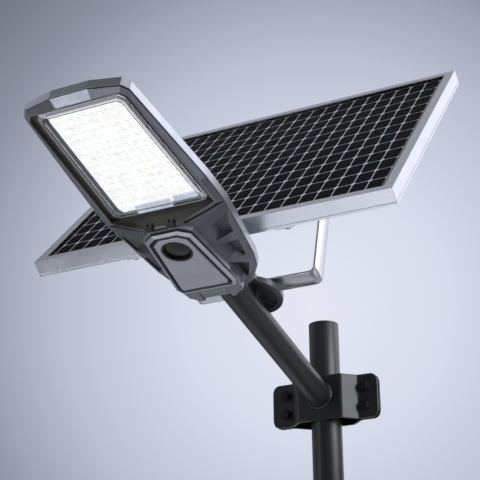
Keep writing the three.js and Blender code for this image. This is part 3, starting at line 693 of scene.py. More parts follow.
# ---- mast, clamp and arm -------------------------------------------------------------------------
class LAMP_OT_mast(bpy.types.Operator):
    """Round steel mast section with rounded rims"""

    bl_idname = "lamp.mast"
    bl_label = "Mast"

    def execute(self, context):
        low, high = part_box("mast_tube")
        r = sizes().mast_radius / MM
        inner = r - 3
        z0, z1 = low.z / MM, high.z / MM
        e = 0.7
        loops = [ring(r - e, z0, 128), ring(r - 0.2, z0 + 0.2, 128), ring(r, z0 + e, 128),
                 ring(r, z1 - e, 128), ring(r - 0.2, z1 - 0.2, 128), ring(r - e, z1, 128),
                 ring(inner + e, z1, 128), ring(inner, z1 - e, 128), ring(inner, z0 + e, 128),
                 ring(inner + e, z0, 128)]
        bm = bmesh.new()
        bridge(bm, loops, closed=True)
        coat = powder_coat("Charcoal powder coat on steel tube", colours().charcoal)
        finish_piece(bm, "mast", Matrix.Identity(4), "mast", [coat], ["mast_tube"],
                     sharp=50)
        return {"FINISHED"}


class LAMP_OT_clamp(bpy.types.Operator):
    """Two pressed clamp halves, their bolts and nuts"""

    bl_idname = "lamp.clamp"
    bl_label = "Pole clamp"

    def half(self, name, node, turn):
        low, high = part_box(node)
        middle = (low.z + high.z) / 2 / MM
        t = sizes().plate / MM
        inner = sizes().mast_radius / MM + 0.3
        reach = high.x / MM
        path = [(-reach, -3 - t / 2), (-71.2, -3 - t / 2), (-44.6, -inner - t / 2),
                (44.6, -inner - t / 2), (71.2, -3 - t / 2), (reach, -3 - t / 2)]
        bends = rounded_path(path, 9, 8)
        stations = []
        for (a, direction), (b, _) in zip(bends, bends[1:]):
            stations.append((a, direction))
            # the sloping and end flats are split, so that the rounded corners have points
            if (b - a).length > 20 and abs(a.x + b.x) > 10:
                stations += [(a.lerp(b, i / 14), direction) for i in range(1, 14)]
        stations.append(bends[-1])
        corner = 15.0
        tall = (high.z - low.z) / 2 / MM
        loops = []
        for p, d in stations:
            n = Vector((-d.y, d.x))
            over = max(0.0, abs(p.x) - (reach - corner))
            half = tall - corner + math.sqrt(max(corner ** 2 - over ** 2, 0.0))
            outer, inside = p - n * t / 2, p + n * t / 2
            loops.append([Vector((*outer, half)), Vector((*outer, -half)),
                          Vector((*inside, -half)), Vector((*inside, half))])
        bm = bmesh.new()
        bridge(bm, loops)
        matrix = Matrix.Translation((0, 0, middle * MM)) @ Matrix.Rotation(turn, 4, "Z")
        coat = bpy.data.materials.get("Charcoal powder coat on pressed plate") or powder_coat(
            "Charcoal powder coat on pressed plate", [c * 0.85 for c in colours().charcoal])
        finish_piece(bm, name, matrix, "head", [coat], [node], bevel=0.9, segments=3,
                     angle=40)

    def execute(self, context):
        self.half("clamp_half_front", "clamp_front", 0)
        self.half("clamp_half_rear", "clamp_rear", math.pi)
        black = black_oxide("Black-coated bolt steel", srgb("#101012"))
        for n in range(1, 5):
            low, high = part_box(f"clamp_bolt_{n}")
            centre = (low + high) / 2
            y = low.y + 6.5 * MM
            matrix = Matrix.Translation((centre.x, y, centre.z)) @ Matrix.Rotation(math.pi / 2, 4, "X")
            bm = bmesh.new()
            hex_bolt(bm, Matrix.Identity(4), 17, 6.5, 5, (high.y - y) / MM, washer=11)
            finish_piece(bm, f"clamp_screw_{n}", matrix, "head", [black],
                         [f"clamp_bolt_{n}"], sharp=35)
            low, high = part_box(f"clamp_nut_{n}")
            matrix = Matrix.Translation((centre.x, low.y, centre.z)) @ Matrix.Rotation(
                -math.pi / 2, 4, "X")
            bm = bmesh.new()
            hex_nut(bm, Matrix.Identity(4), 17, (high.y - low.y) / MM, 5.1)
            finish_piece(bm, f"clamp_hexnut_{n}", matrix, "head", [black],
                         [f"clamp_nut_{n}"], sharp=35)
        return {"FINISHED"}


class LAMP_OT_arm(bpy.types.Operator):
    """Inclined arm tube, cut to the clamp and welded round its foot"""

    bl_idname = "lamp.arm"
    bl_label = "Arm"

    def execute(self, context):
        rise = lamp_rise()
        face = -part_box("clamp_front")[0].y / MM
        r = sizes().arm_radius / MM
        inner = r - 2.5
        end = 495.0
        count = 96

        def cut(radius, gap):
            out = []
            for i in range(count):
                a = 2 * math.pi * i / count
                h = radius * math.sin(a)
                s = (face + gap + h * math.sin(rise)) / math.cos(rise)
                out.append(Vector((radius * math.cos(a), -s, h)))
            return out

        def square(radius, s):
            return [Vector((radius * math.cos(2 * math.pi * i / count), -s,
                            radius * math.sin(2 * math.pi * i / count))) for i in range(count)]

        bm = bmesh.new()
        bridge(bm, [cut(r, 0.3), square(r, end - 0.6), square(r - 0.6, end), square(inner, end),
                    cut(inner, 0.3)], closed=True)
        # weld bead with its ripple, filling the corner to the clamp
        beads = []
        for k in range(7):
            t = math.pi / 2 * k / 6
            grow, lift = 4.2 * math.cos(t), 4.2 * math.sin(t)
            loop = []
            for i, p in enumerate(cut(r, 0.0)):
                ripple = 1 + 0.05 * math.sin(i * 2 * math.pi * 14 / count)
                out = Vector((p.x, 0, p.z)).normalized()
                loop.append(p + out * (grow * ripple * 0.85 - 0.2) + Vector((0, -lift * ripple, 0)))
            beads.append(loop)
        beads.append([p + Vector((0, -4.0, 0)) for p in cut(r - 0.4, 0.0)])
        beads.append(cut(r - 0.4, 0.0))
        bridge(bm, beads, closed=True)
        coat = powder_coat("Charcoal powder coat on arm tube", colours().charcoal)
        finish_piece(bm, "arm", arm_frame(), "head", [coat], ["arm_tube"], sharp=40)
        return {"FINISHED"}


# ---- lamp head ---------------------------------------------------------------------------------------
# half outlines as (x, distance along the arm)
RIM = [(33, 952), (84, 942), (93, 929), (109, 720), (110, 655), (93, 516), (84, 485), (58, 448),
       (38, 436)]
RIM_IN = [(32, 946), (81, 936.5), (88, 926), (104, 718), (105, 656), (88.5, 518), (79.5, 489),
          (55, 453), (36, 442)]
CROWN = [(24, 926), (66, 918), (72, 908), (86, 720), (87, 662), (70, 540), (62, 518)]
RIM_LOW = -15.0
SEAT = -15.3
FRAME_LOW = -21.0
BOX_LOW = -48.0
COVER_LOW = -55.0
SENSOR_S = 604.0
SWIVEL_S = 340.0
PIPE_GAP = 0.3


def lens_wedge(extra):
    """Wedge behind the lens, deepest in the middle, that closes the front of the rear box."""
    return hull([
        symmetric([(100 + extra, 668), (100 + extra, 656.3 - extra), (30, 645 - extra)], SEAT + extra),
        symmetric([(97 + extra, 667), (88 + extra, 656.6 - extra)], FRAME_LOW - extra),
        symmetric([(31 + extra, 665), (31 + extra, 658.6 - extra)], -47 - extra)])


def skirt_groove():
    """Cutter for the shadow line between the shell's skirt and the castings under it."""
    inset = [(x - 2.0, s - 2.0 if s > 900 else s + 1.0) for x, s in RIM]
    wide = [(x + 6.0, s + (6.0 if s > 700 else -6.0)) for x, s in RIM]
    bm = combine(prism(symmetric(wide, 0), SEAT - 1.7, SEAT + 1),
                 ("-", prism(symmetric(inset, 0), SEAT - 3, SEAT + 3)))
    # the cut faces take slot 1, which the castings fill with painted shade
    return tinted(as_mesh(bm), 1)


def in_groove(c, n):
    """Whether a face with centre c and normal n is the upright wall of the shadow line, where shade is
    painted.
    """
    return SEAT - 1.6 < c.z < SEAT - 0.1 and abs(n.z) < 0.3


def pipe_bore(s0, s1):
    """Cutter for the arm tube, a little wider than the tube."""
    return long_rod(sizes().arm_radius / MM + PIPE_GAP, s0, s1)


class LAMP_OT_shell(bpy.types.Operator):
    """Upper shell of the head with its pipe hump and swivel tongue"""

    bl_idname = "lamp.shell"
    bl_label = "Upper shell"

    def execute(self, context):
        low, top = 30.0, 41.0
        body = hull([symmetric(RIM, RIM_LOW), symmetric(RIM, 0)])
        crown = hull([symmetric(RIM, -0.5), symmetric(CROWN, 12)])
        hump = hull([symmetric([(46, 520), (54, 505), (50, 450), (40, 438)], 0),
                     symmetric([(28, 478), (34, 468), (34, 440), (30, 430)], top)])
        tongue = rod(54, low, top, 0, -SWIVEL_S)
        neck = prism(symmetric([(30, 450), (29, 420), (29, SWIVEL_S)], 0), low, top)
        cuts = [prism(symmetric(RIM_IN, 0), RIM_LOW - 5, -2), pipe_bore(298, 498),
                prism(symmetric([(18, 408), (18, SWIVEL_S)], 0), low - 5, top - 5.5),
                rod(44, low - 5, top - 5.5, 0, -SWIVEL_S),
                rod(5.4, low - 5, top + 5, 0, -SWIVEL_S, 32)]
        # ribs inside the tongue's hollow, clear of the turning nut
        ribs = []
        for angle in (50, 130, 230, 310):
            a = math.radians(angle)
            spoke = block(20, 46, -1.6, 1.6, low + 1, top - 5)
            spoke.transform(Matrix.Translation((0, -SWIVEL_S, 0)) @ Matrix.Rotation(a, 4, "Z"))
            ribs.append(spoke)
        steps = [("+", crown), ("+", hump), ("+", neck), ("+", tongue)]
        steps += [("-", cut) for cut in cuts] + [("+", rib) for rib in ribs]
        bm = combine(body, *steps)
        silver = cast_paint("Silver enamel on cast aluminium", colours().silver, 0.75, (0.24, 0.34))
        dark = cast_paint("Charcoal enamel on cast tongue", srgb("#626468"), 0.6, (0.3, 0.42))
        paint_faces(bm, 1, lambda c, n: -c.y < 432 and c.z < top - 1 and c.z > 20)
        finish_piece(bm, "upper_shell", arm_frame(), "head", [silver, dark],
                     ["head_top_shell"], bevel=1.0, segments=2, angle=7)
        return {"FINISHED"}


class LAMP_OT_lens_frame(bpy.types.Operator):
    """Frame round the lens with the wedge behind it"""

    bl_idname = "lamp.lens_frame"
    bl_label = "Lens frame"

    def execute(self, context):
        outer = [(33, 952), (84, 942), (93, 929), (109, 720), (110, 656.4)]
        lower = [(31, 934), (80, 933.5), (89, 922), (98.5, 720), (99, 662)]
        opening = [(30, 931), (78, 931), (86, 920), (93.2, 720), (95, 668)]
        bm = bmesh.new()
        bridge(bm, [symmetric(outer, SEAT), symmetric(lower, FRAME_LOW),
                    symmetric(opening, FRAME_LOW), symmetric(opening, SEAT)], closed=True)
        bm = combine(as_mesh(bm), ("+", lens_wedge(0)), ("-", skirt_groove()))
        paint = cast_paint("Gunmetal enamel on cast frame", colours().grey, 0.8, (0.2, 0.3))
        # shade is painted shade: dark bronze-grey on the wedge's front face in the recess and on the
        # shadow line's faces
        shade = cast_paint("Painted shade inside the recess", srgb("#3a3731"), 0.4, (0.3, 0.45))
        paint_faces(bm, 1, lambda c, n: -c.y > 660 and abs(n.z) < 0.5 and abs(c.x) < 97
                    and not (-c.y > 940 or abs(c.x) > 95.5) and n.dot(Vector((0, -1, 0))) > 0.5)
        # painted shade on the upright walls of the shadow line under the skirt
        paint_faces(bm, 1, lambda c, n: in_groove(c, n) and abs(c.x) > 97)
        finish_piece(bm, "lens_bezel", arm_frame(), "head", [paint, shade],
                     ["head_front_frame"], bevel=0.7, segments=2, angle=3)
        return {"FINISHED"}


class LAMP_OT_rear_base(bpy.types.Operator):
    """Lower rear casting with pockets in its wings, and the pipe saddle"""

    bl_idname = "lamp.rear_base"
    bl_label = "Rear base"

    def execute(self, context):
        wing_low = -39.0
        wing = hull([symmetric([(90, 655.5), (109.6, 655.5), (92.6, 516), (83.6, 485), (58, 448),
                                (38, 436)], SEAT),
                     symmetric([(40, 650), (50, 634), (57, 536), (55, 500), (49, 472), (40, 458)],
                               wing_low)])
        room = hull([symmetric([(34, 655), (49, 641), (59, 502), (51, 470), (38, 452)], SEAT),
                     symmetric([(28, 656), (46, 639), (58, 501), (49, 470), (34, 456)], BOX_LOW)])
        steps = [("+", room), ("-", lens_wedge(0.3))]
        for side in (-1, 1):
            steps.append(("+", rod(8, BOX_LOW + 3, SEAT, side * 45, -470, 48)))
        steps.append(("-", hull([symmetric([(26, 642), (40, 630), (50, 505), (46, 502)], SEAT + 1),
                                 symmetric([(22, 642), (38, 630), (50, 505), (46, 502)],
                                           BOX_LOW - 1)])))
        pockets = [
            ([(104, 639), (96, 587), (61, 590), (56, 619)], [(97, 631), (90, 591), (70, 595), (67, 616)]),
            ([(94, 572), (86.5, 520), (63, 538), (60, 581)], [(89, 567), (82, 528), (70, 543), (69, 574)]),
            ([(82, 508), (65, 474), (56, 481), (55, 518), (57.5, 534)],
             [(78, 504), (65, 480), (61, 485), (61, 512), (63, 524)])]
        for side in (-1, 1):
            for mouth, floor in pockets:
                loops = [[Vector((side * x, -s, z)) for x, s in outline] for outline, z in
                         ((mouth, wing_low - 12), (mouth, wing_low + 2), (floor, SEAT - 4))]
                # the pockets' cut faces take slot 1, painted shade
                steps.append(("-", tinted(hull(loops), 1)))
        steps += [("-", pipe_bore(396, 496)),
                  ("-", block(-26.3, 26.3, -478.3, -400, BOX_LOW - 10, -20))]
        steps.append(("-", skirt_groove()))
        bm = combine(wing, *steps)
        grey = cast_paint("Gunmetal enamel on cast base", colours().grey, 0.75, (0.24, 0.34))
        # slots 1 and 2 are painted shade: darker inside the pockets, near black on the pockets' outer
        # walls and the shadow line's walls
        pocket_shade = cast_paint("Painted shade inside the pockets", srgb("#4b4c50"), 0.4, (0.34, 0.46))
        deep = cast_paint("Unpolished enamel on the pockets' outer walls", srgb("#17171a"), 0.2,
                          (0.5, 0.6))

        def in_pocket(c):
            return abs(c.x) > 56 and wing_low + 1 < c.z < SEAT - 2.2

        # painted shade in the pockets and on the shadow line's walls
        paint_faces(bm, 1, lambda c, n: in_pocket(c) and (abs(n.z) < 0.62 or c.z > SEAT - 4.6))
        paint_faces(bm, 2, lambda c, n: in_pocket(c) and abs(n.z) < 0.62
                    and n.x * math.copysign(1, c.x) < -0.45)
        paint_faces(bm, 2, in_groove)
        finish_piece(bm, "rear_casting", arm_frame(), "head", [grey, pocket_shade, deep],
                     ["head_rear_base"], bevel=0.5, segments=2, angle=8)
        saddle = hull([symmetric([(26, 478), (26, 452)], -20.5),
                       symmetric([(26, 478), (26, 461)], BOX_LOW + 2),
                       symmetric([(24, 476.5), (24, 463)], BOX_LOW)])
        bm = combine(saddle, ("-", pipe_bore(396, 496)))
        finish_piece(bm, "socket_saddle", arm_frame(), "head", [grey],
                     ["pipe_saddle"], bevel=0.7, segments=2, angle=12)
        return {"FINISHED"}


class LAMP_OT_cover(bpy.types.Operator):
    """Rear cover, presence sensor and clips"""

    bl_idname = "lamp.cover"
    bl_label = "Rear cover"

    def execute(self, context):
        seat = BOX_LOW - 0.3
        rim = [(24, 649.5), (43, 636.5), (57, 502), (50.5, 489)]
        brow = [(21.5, 645.5), (39, 633), (52.5, 504), (47.5, 493)]
        groove_out = [(20.6, 644), (37.6, 632), (51, 505), (46.6, 495)]
        groove_in = [(17.5, 637.5), (31.5, 627), (44.5, 508), (41.5, 501.5)]
        face = [(17, 636.4), (30.4, 626), (43.2, 509), (40.6, 503)]
        plate = hull([symmetric(rim, seat), symmetric(rim, seat - 3), symmetric(brow, COVER_LOW + 0.2)])
        bm = combine(plate, ("-", prism(symmetric(groove_out, 0), COVER_LOW - 5, COVER_LOW + 5)),
                     ("+", hull([symmetric(groove_in, COVER_LOW + 5.2),
                                 symmetric(groove_in, COVER_LOW + 0.8), symmetric(face, COVER_LOW)])),
                     ("-", rod(26.5, COVER_LOW - 5, seat + 5, 0, -SENSOR_S)))
        paint = cast_paint("Satin silver enamel on cover", colours().cover, 0.55, (0.34, 0.46))
        groove_shade = silicone("Painted shade in the cover's groove", srgb("#161617"))
        # painted shade: the groove's floor is painted near black, with no cord in it
        paint_faces(bm, 1, lambda c, n: abs(c.z - (COVER_LOW + 5)) < 0.6)
        finish_piece(bm, "cover_plate", arm_frame(), "head", [paint, groove_shade], ["rear_cover"],
                     bevel=0.45, segments=2, angle=12)
        self.sensor(seat)
        black = moulded("Black moulded ABS", srgb("#0d0d0f"))
        dress("cover_clip_left", black, 0.4, 2, 30)
        dress("cover_clip_right", black, 0.4, 2, 30)
        return {"FINISHED"}

    def sensor(self, seat):
        """Recessed black window: raised collar round a shallow dome."""
        r = 26.2
        centre = Matrix.Translation((0, -SENSOR_S, 0))
        face = COVER_LOW + 3.2
        loops = [ring(r, seat + 2.3, 96), ring(r, COVER_LOW + 0.9, 96), ring(r - 0.5, COVER_LOW + 0.5, 96),
                 ring(r - 2.6, COVER_LOW + 0.5, 96), ring(r - 3.2, COVER_LOW + 1.1, 96),
                 ring(r - 3.6, face + 2.4, 96)]
        for i in range(1, 9):
            radius = (r - 3.8) * (1 - i / 9)
            sag = 2.2 * (1 - (radius / (r - 3.8)) ** 2)
            loops.append(ring(radius, face + 2.2 - sag, 96))
        bm = bmesh.new()
        bridge(bm, moved(loops, centre))
        window = infrared_window("Black infrared-clear window", srgb("#070708"))
        collar = moulded("Black glass-filled collar", srgb("#060607"), (0.3, 0.4))
        paint_faces(bm, 1, lambda c, n: (Vector((c.x, c.y + SENSOR_S)).length > r - 4.0))
        finish_piece(bm, "sensor_eye", arm_frame(), "head", [window, collar],
                     ["sensor_window"], sharp=35)


class LAMP_OT_light(bpy.types.Operator):
    """Light engine: board, optics plate, gasket and clear cover"""

    bl_idname = "lamp.light"
    bl_label = "Light engine"

    def execute(self, context):
        dress("led_board", plain_film("White solder mask", srgb("#f0f1f2")), 0.3)
        dress("lens_gasket", silicone("Brown-black silicone gasket", srgb("#4d4638")), 0.5)
        self.optics()
        self.cover()
        return {"FINISHED"}

    def optics(self):
        """Plate with one clear dome over each emitter, and pale reflector bars at its rear."""
        bm = bmesh.new()
        outline = [(60, 914), (64, 908), (72, 688), (68, 676)]
        bridge(bm, [symmetric(outline, -4.8), symmetric(outline, -7.6),
                    symmetric([(59.4, 913), (63.2, 907.5), (71.2, 688.5), (67.4, 677)], -8.2)])
        rows, columns = 15, 10
        for j in range(rows):
            s = 697 + 210 * j / (rows - 1)
            half = 63.5 - 7 * j / (rows - 1)
            for i in range(columns):
                x = -half + 2 * half * i / (columns - 1)
                at = Matrix.Translation((x, -s, 0))
                bridge(bm, moved([ring(5.4, -8.1, 20), ring(5.4, -8.9, 20)], at), slot=1)
                dome = [ring(5.0 * math.cos(t), -8.9 - 3.0 * math.sin(t), 20)
                        for t in (0.0, 0.35, 0.7, 1.05, 1.35)]
                bridge(bm, moved(dome, at), slot=0)
        for x0, x1, s0, s1 in ((-42, 22, 671, 686), (30, 70, 678, 689)):
            bridge(bm, [[Vector((x0, -s0, z)), Vector((x1, -s0, z)), Vector((x1, -s1, z)),
                         Vector((x0, -s1, z))] for z in (-8.2, -11.5)], slot=2)
        glow = sizes().light
        lit = lit_acrylic("Clear acrylic optics, lit", srgb("#fffefa"), glow, 9.0, 0.86)
        rim = lit_acrylic("Clear acrylic dome foot, lit", srgb("#efe6c4"), glow * 0.78, 5.0, 0.6)
        bar = lit_acrylic("Pale moulded reflector, lit", srgb("#e2e7f5"), glow * 0.72, 14.0, 0.86)
        finish_piece(bm, "dome_optics", arm_frame(), "head", [lit, rim, bar],
                     ["optics_plate"], sharp=30)

    def cover(self):
        """Clear cover: raised plate with bevelled edge and a thin flange."""
        flange = [(69.5, 925), (77, 915.5), (87, 676), (79.5, 668)]
        crest = [(65, 919), (71.5, 910.5), (81, 681), (75, 674.5)]
        inside = [(62, 915), (68, 907.5), (77, 685), (72, 678.5)]
        bm = bmesh.new()
        bridge(bm, [symmetric(flange, -12.9), symmetric(flange, -14.6), symmetric(crest, -18.8),
                    symmetric([(x - 2.2, s - (2.2 if s > 800 else -2.2)) for x, s in crest], -19.2)])
        steps = [("-", prism(symmetric(inside, 0), -16.2, -10))]
        for s in range(705, 900, 48):
            for side in (-1, 1):
                x = side * (85.0 - 0.042 * (s - 676))
                steps.append(("+", block(x - 2.2, x + 2.2, -s - 4, -s + 4, -17.2, -14.0)))
        bm = combine(as_mesh(bm), *steps)
        clear = clear_polycarbonate("Clear moulded polycarbonate", srgb("#f4f7fb"))
        # the bevel's faces glow faintly: a painted highlight in place of their reflections
        bevel = clear_polycarbonate("Polycarbonate bevel, painted highlight", srgb("#f4f7fb"), 0.13)
        paint_faces(bm, 1, lambda c, n: 0.2 < abs(n.z) < 0.96 and -18.7 < c.z < -14.5)
        finish_piece(bm, "clear_cover", arm_frame(), "head", [clear, bevel], ["lens_cover"],
                     bevel=0.5, segments=2, angle=12)


class LAMP_OT_inside(bpy.types.Operator):
    """Battery pack and charge controller behind the rear cover"""

    bl_idname = "lamp.inside"
    bl_label = "Inside of the head"

    def execute(self, context):
        dress("battery_pack", plain_film("Blue shrink sleeve", srgb("#2c5fa8"), (0.25, 0.4)), 0.8)
        dress("charge_controller", plain_film("Green solder mask", srgb("#1f5a37"), (0.3, 0.45)), 0.3)
        return {"FINISHED"}


# ---- swivel and bracket ------------------------------------------------------------------------------
class LAMP_OT_swivel(bpy.types.Operator):
    """Toothed rosettes, swivel bolt, washer and nut"""

    bl_idname = "lamp.swivel"
    bl_label = "Swivel"

    def execute(self, context):
        cast = cast_paint("Dark grey enamel on cast rosette", srgb("#3c3d40"), 0.3, (0.4, 0.55))
        dress("rosette_lower", cast, 0.0)
        dress("rosette_upper", cast, 0.8, 2, 30)
        zinc = zinc_plate("Bright zinc plate", srgb("#b9bcc1"))
        for node in ("swivel_bolt", "swivel_washer", "swivel_nut"):
            dress(node, zinc, 0.4)
        return {"FINISHED"}


class LAMP_OT_bracket(bpy.types.Operator):
    """Flat bar bent into a U"""

    bl_idname = "lamp.bracket"
    bl_label = "Bracket"

    def execute(self, context):
        dress("strap_bracket", brushed_bar("Ground aluminium bar", colours().aluminium), 0.6, 2, 40)
        return {"FINISHED"}


# ---- solar panel -------------------------------------------------------------------------------------
class LAMP_OT_panel(bpy.types.Operator):
    """Panel frame, glass, cells, backing and junction box"""

    bl_idname = "lamp.panel"
    bl_label = "Solar panel"

    def execute(self, context):
        flat = anodised("Satin anodised extrusion, level", colours().aluminium, "x")
        upright = anodised("Satin anodised extrusion, upright", colours().aluminium, "y")
        self.members(flat, upright)
        dress("panel_glass", low_iron_glass("Low-iron solar glass", srgb("#0e1216")), 0.0)
        dress("back_sheet", plain_film("White fluoropolymer backing film", srgb("#ecedee")), 0.0)
        dress("junction_box", moulded("Black moulded junction box", srgb("#121214")), 1.2)
        self.cells()
        return {"FINISHED"}

    def extent(self, *nodes):
        """Lowest and highest corners of engineering nodes, in millimetres along the panel."""
        to_panel = panel_frame().inverted()
        corners = [to_panel @ v.co for node in nodes for v in frame["nodes"][node].data.vertices]
        return (Vector((min(c[i] for c in corners) for i in range(3))) / MM,
                Vector((max(c[i] for c in corners) for i in range(3))) / MM)

    def members(self, flat, upright):
        """Four mitred lengths of one section, the size of the engineering frame."""
        low, high = self.extent("frame_bottom", "frame_top", "frame_left", "frame_right")
        wall, lip, flange, seat, deep = 1.8, 18.0, 22.0, 5.0, high.z - low.z
        # section: u inwards from the outer face, v up from the rear; one shallow groove outside
        section = [(0, 0), (flange, 0), (flange, wall), (wall, wall), (wall, deep - seat - wall * 2),
                   (8, deep - seat - wall * 2), (8, deep - seat - wall), (wall, deep - seat - wall),
                   (wall, deep - wall), (lip, deep - wall), (lip, deep), (0, deep),
                   (0, 5.2), (0.6, 4.9), (0.6, 4.3), (0, 4.0)]
        middle = (low + high) / 2
        half = (high - low) / 2
        for node, turn, run, out, material in (
                ("frame_bottom", 0, half.x, half.y, flat),
                ("frame_right", 90, half.y, half.x, upright),
                ("frame_top", 180, half.x, half.y, flat),
                ("frame_left", 270, half.y, half.x, upright)):
            ends = [[Vector((side * (run - u - 0.15), u - out, v + low.z)) for u, v in section]
                    for side in (-1, 1)]
            bm = bmesh.new()
            bridge(bm, ends)
            place = (panel_frame() @ Matrix.Translation((middle.x * MM, middle.y * MM, 0))
                     @ Matrix.Rotation(math.radians(turn), 4, "Z"))
            finish_piece(bm, node.replace("frame", "extrusion"), place, "panel", [material],
                         [node], bevel=0.35, segments=2, angle=30)

    def cells(self):
        """Cells with clipped corners on a bright ribbon sheet, with a dark border round them."""
        low, high = self.extent("cell_sheet")
        raised = (high.z - 0.24, high.z)

        def slab(bm, a, b, c, d, levels, slot):
            bridge(bm, [[Vector((a, c, z)), Vector((b, c, z)), Vector((b, d, z)), Vector((a, d, z))]
                        for z in levels], slot=slot)

        bm = bmesh.new()
        slab(bm, low.x, high.x, low.y, high.y, (low.z, high.z - 0.25), 0)
        # the visible field lies inside the frame's lip and the border
        gap = sizes().cell_gap / MM
        border_width = 19.5
        x0, x1 = low.x + border_width, high.x - border_width
        y0, y1 = low.y + border_width, high.y - border_width
        columns, rows = sizes().columns, sizes().rows
        step_x, step_y = (x1 - x0) / columns, (y1 - y0) / rows
        cut = 4.0
        for i in range(columns):
            for j in range(rows):
                a, b = x0 + i * step_x + gap / 2, x0 + (i + 1) * step_x - gap / 2
                c, d = y0 + j * step_y + gap / 2, y0 + (j + 1) * step_y - gap / 2
                outline = [(a + cut, c), (b - cut, c), (b, c + cut), (b, d - cut), (b - cut, d),
                           (a + cut, d), (a, d - cut), (a, c + cut)]
                bridge(bm, [[Vector((x, y, z)) for x, y in outline] for z in raised], slot=1)
        # dark border strips round the field
        left, right = low.x + 0.1, high.x - 0.1
        for a, b, c, d in ((left, right, low.y + 0.1, y0 - 0.6),
                           (left, right, y1 + 0.6, high.y - 0.1),
                           (left, x0 - 0.6, y0 - 0.5, y1 + 0.5),
                           (x1 + 0.6, right, y0 - 0.5, y1 + 0.5)):
            slab(bm, a, b, c, d, raised, 2)
        ribbon = plain_film("Tinned ribbon under film", srgb("#f1f3f7"), (0.3, 0.45), 20)
        cell = silicon_cell("Monocrystalline silicon cell", colours().cells)
        border = plain_film("Black edge film", srgb("#0a0a0e"), (0.3, 0.45), 20)
        finish_piece(bm, "solar_cells", panel_frame(), "panel", [ribbon, cell, border],
                     ["cell_sheet"], sharp=30)


class LAMP_OT_rails(bpy.types.Operator):
    """Rails behind the panel with their screws and the pivot bolts"""

    bl_idname = "lamp.rails"
    bl_label = "Rails and fasteners"

    def execute(self, context):
        mill = anodised("Mill-finish aluminium angle", srgb("#c3c5c9"), "y", (0.3, 0.42))
        dress("rail_left", mill, 0.5)
        dress("rail_right", mill, 0.5)
        zinc = bpy.data.materials["Bright zinc plate"]
        for n in range(1, 5):
            dress(f"rail_screw_{n}", zinc, 0.3)
        for side in ("left", "right"):
            dress(f"pivot_bolt_{side}", zinc, 0.4)
            dress(f"pivot_nut_{side}", zinc, 0.4)
        return {"FINISHED"}


# ---- stage -------------------------------------------------------------------------------------------
# softboxes round the lamp: direction, inner and outer half angle in degrees, strength;
# they light the lamp unequally from all sides, so that neighbouring faces differ
SOFTBOXES = [
    ((0.96, -0.08, 0.26), 9, 28, 5.5), ((0.62, 0.62, 0.50), 7, 18, 2.0),
    ((0.30, 0.85, 0.43), 15, 28, 1.0), ((-0.48, -0.10, -0.87), 4, 8.5, 6.0),
    ((0.00, -0.46, -0.88), 10, 29, 1.3), ((-0.45, 0.57, -0.69), 12, 26, 0.36),
    ((-0.30, 0.42, 0.86), 10, 22, 0.32), ((0.80, 0.44, -0.42), 8, 20, 0.8),
    ((0.50, 0.38, -0.78), 7, 16, 0.5), ((-0.47, -0.68, -0.56), 6, 13, 2.5),
    ((0.50, 0.20, 0.85), 10, 30, 0.6), ((-0.72, -0.10, 0.70), 8, 20, 0.6),
    ((-0.90, 0.20, 0.10), 15, 30, 0.3), ((0.00, 0.90, -0.30), 15, 45, 0.35)]
ROOM_LIGHT = 0.16


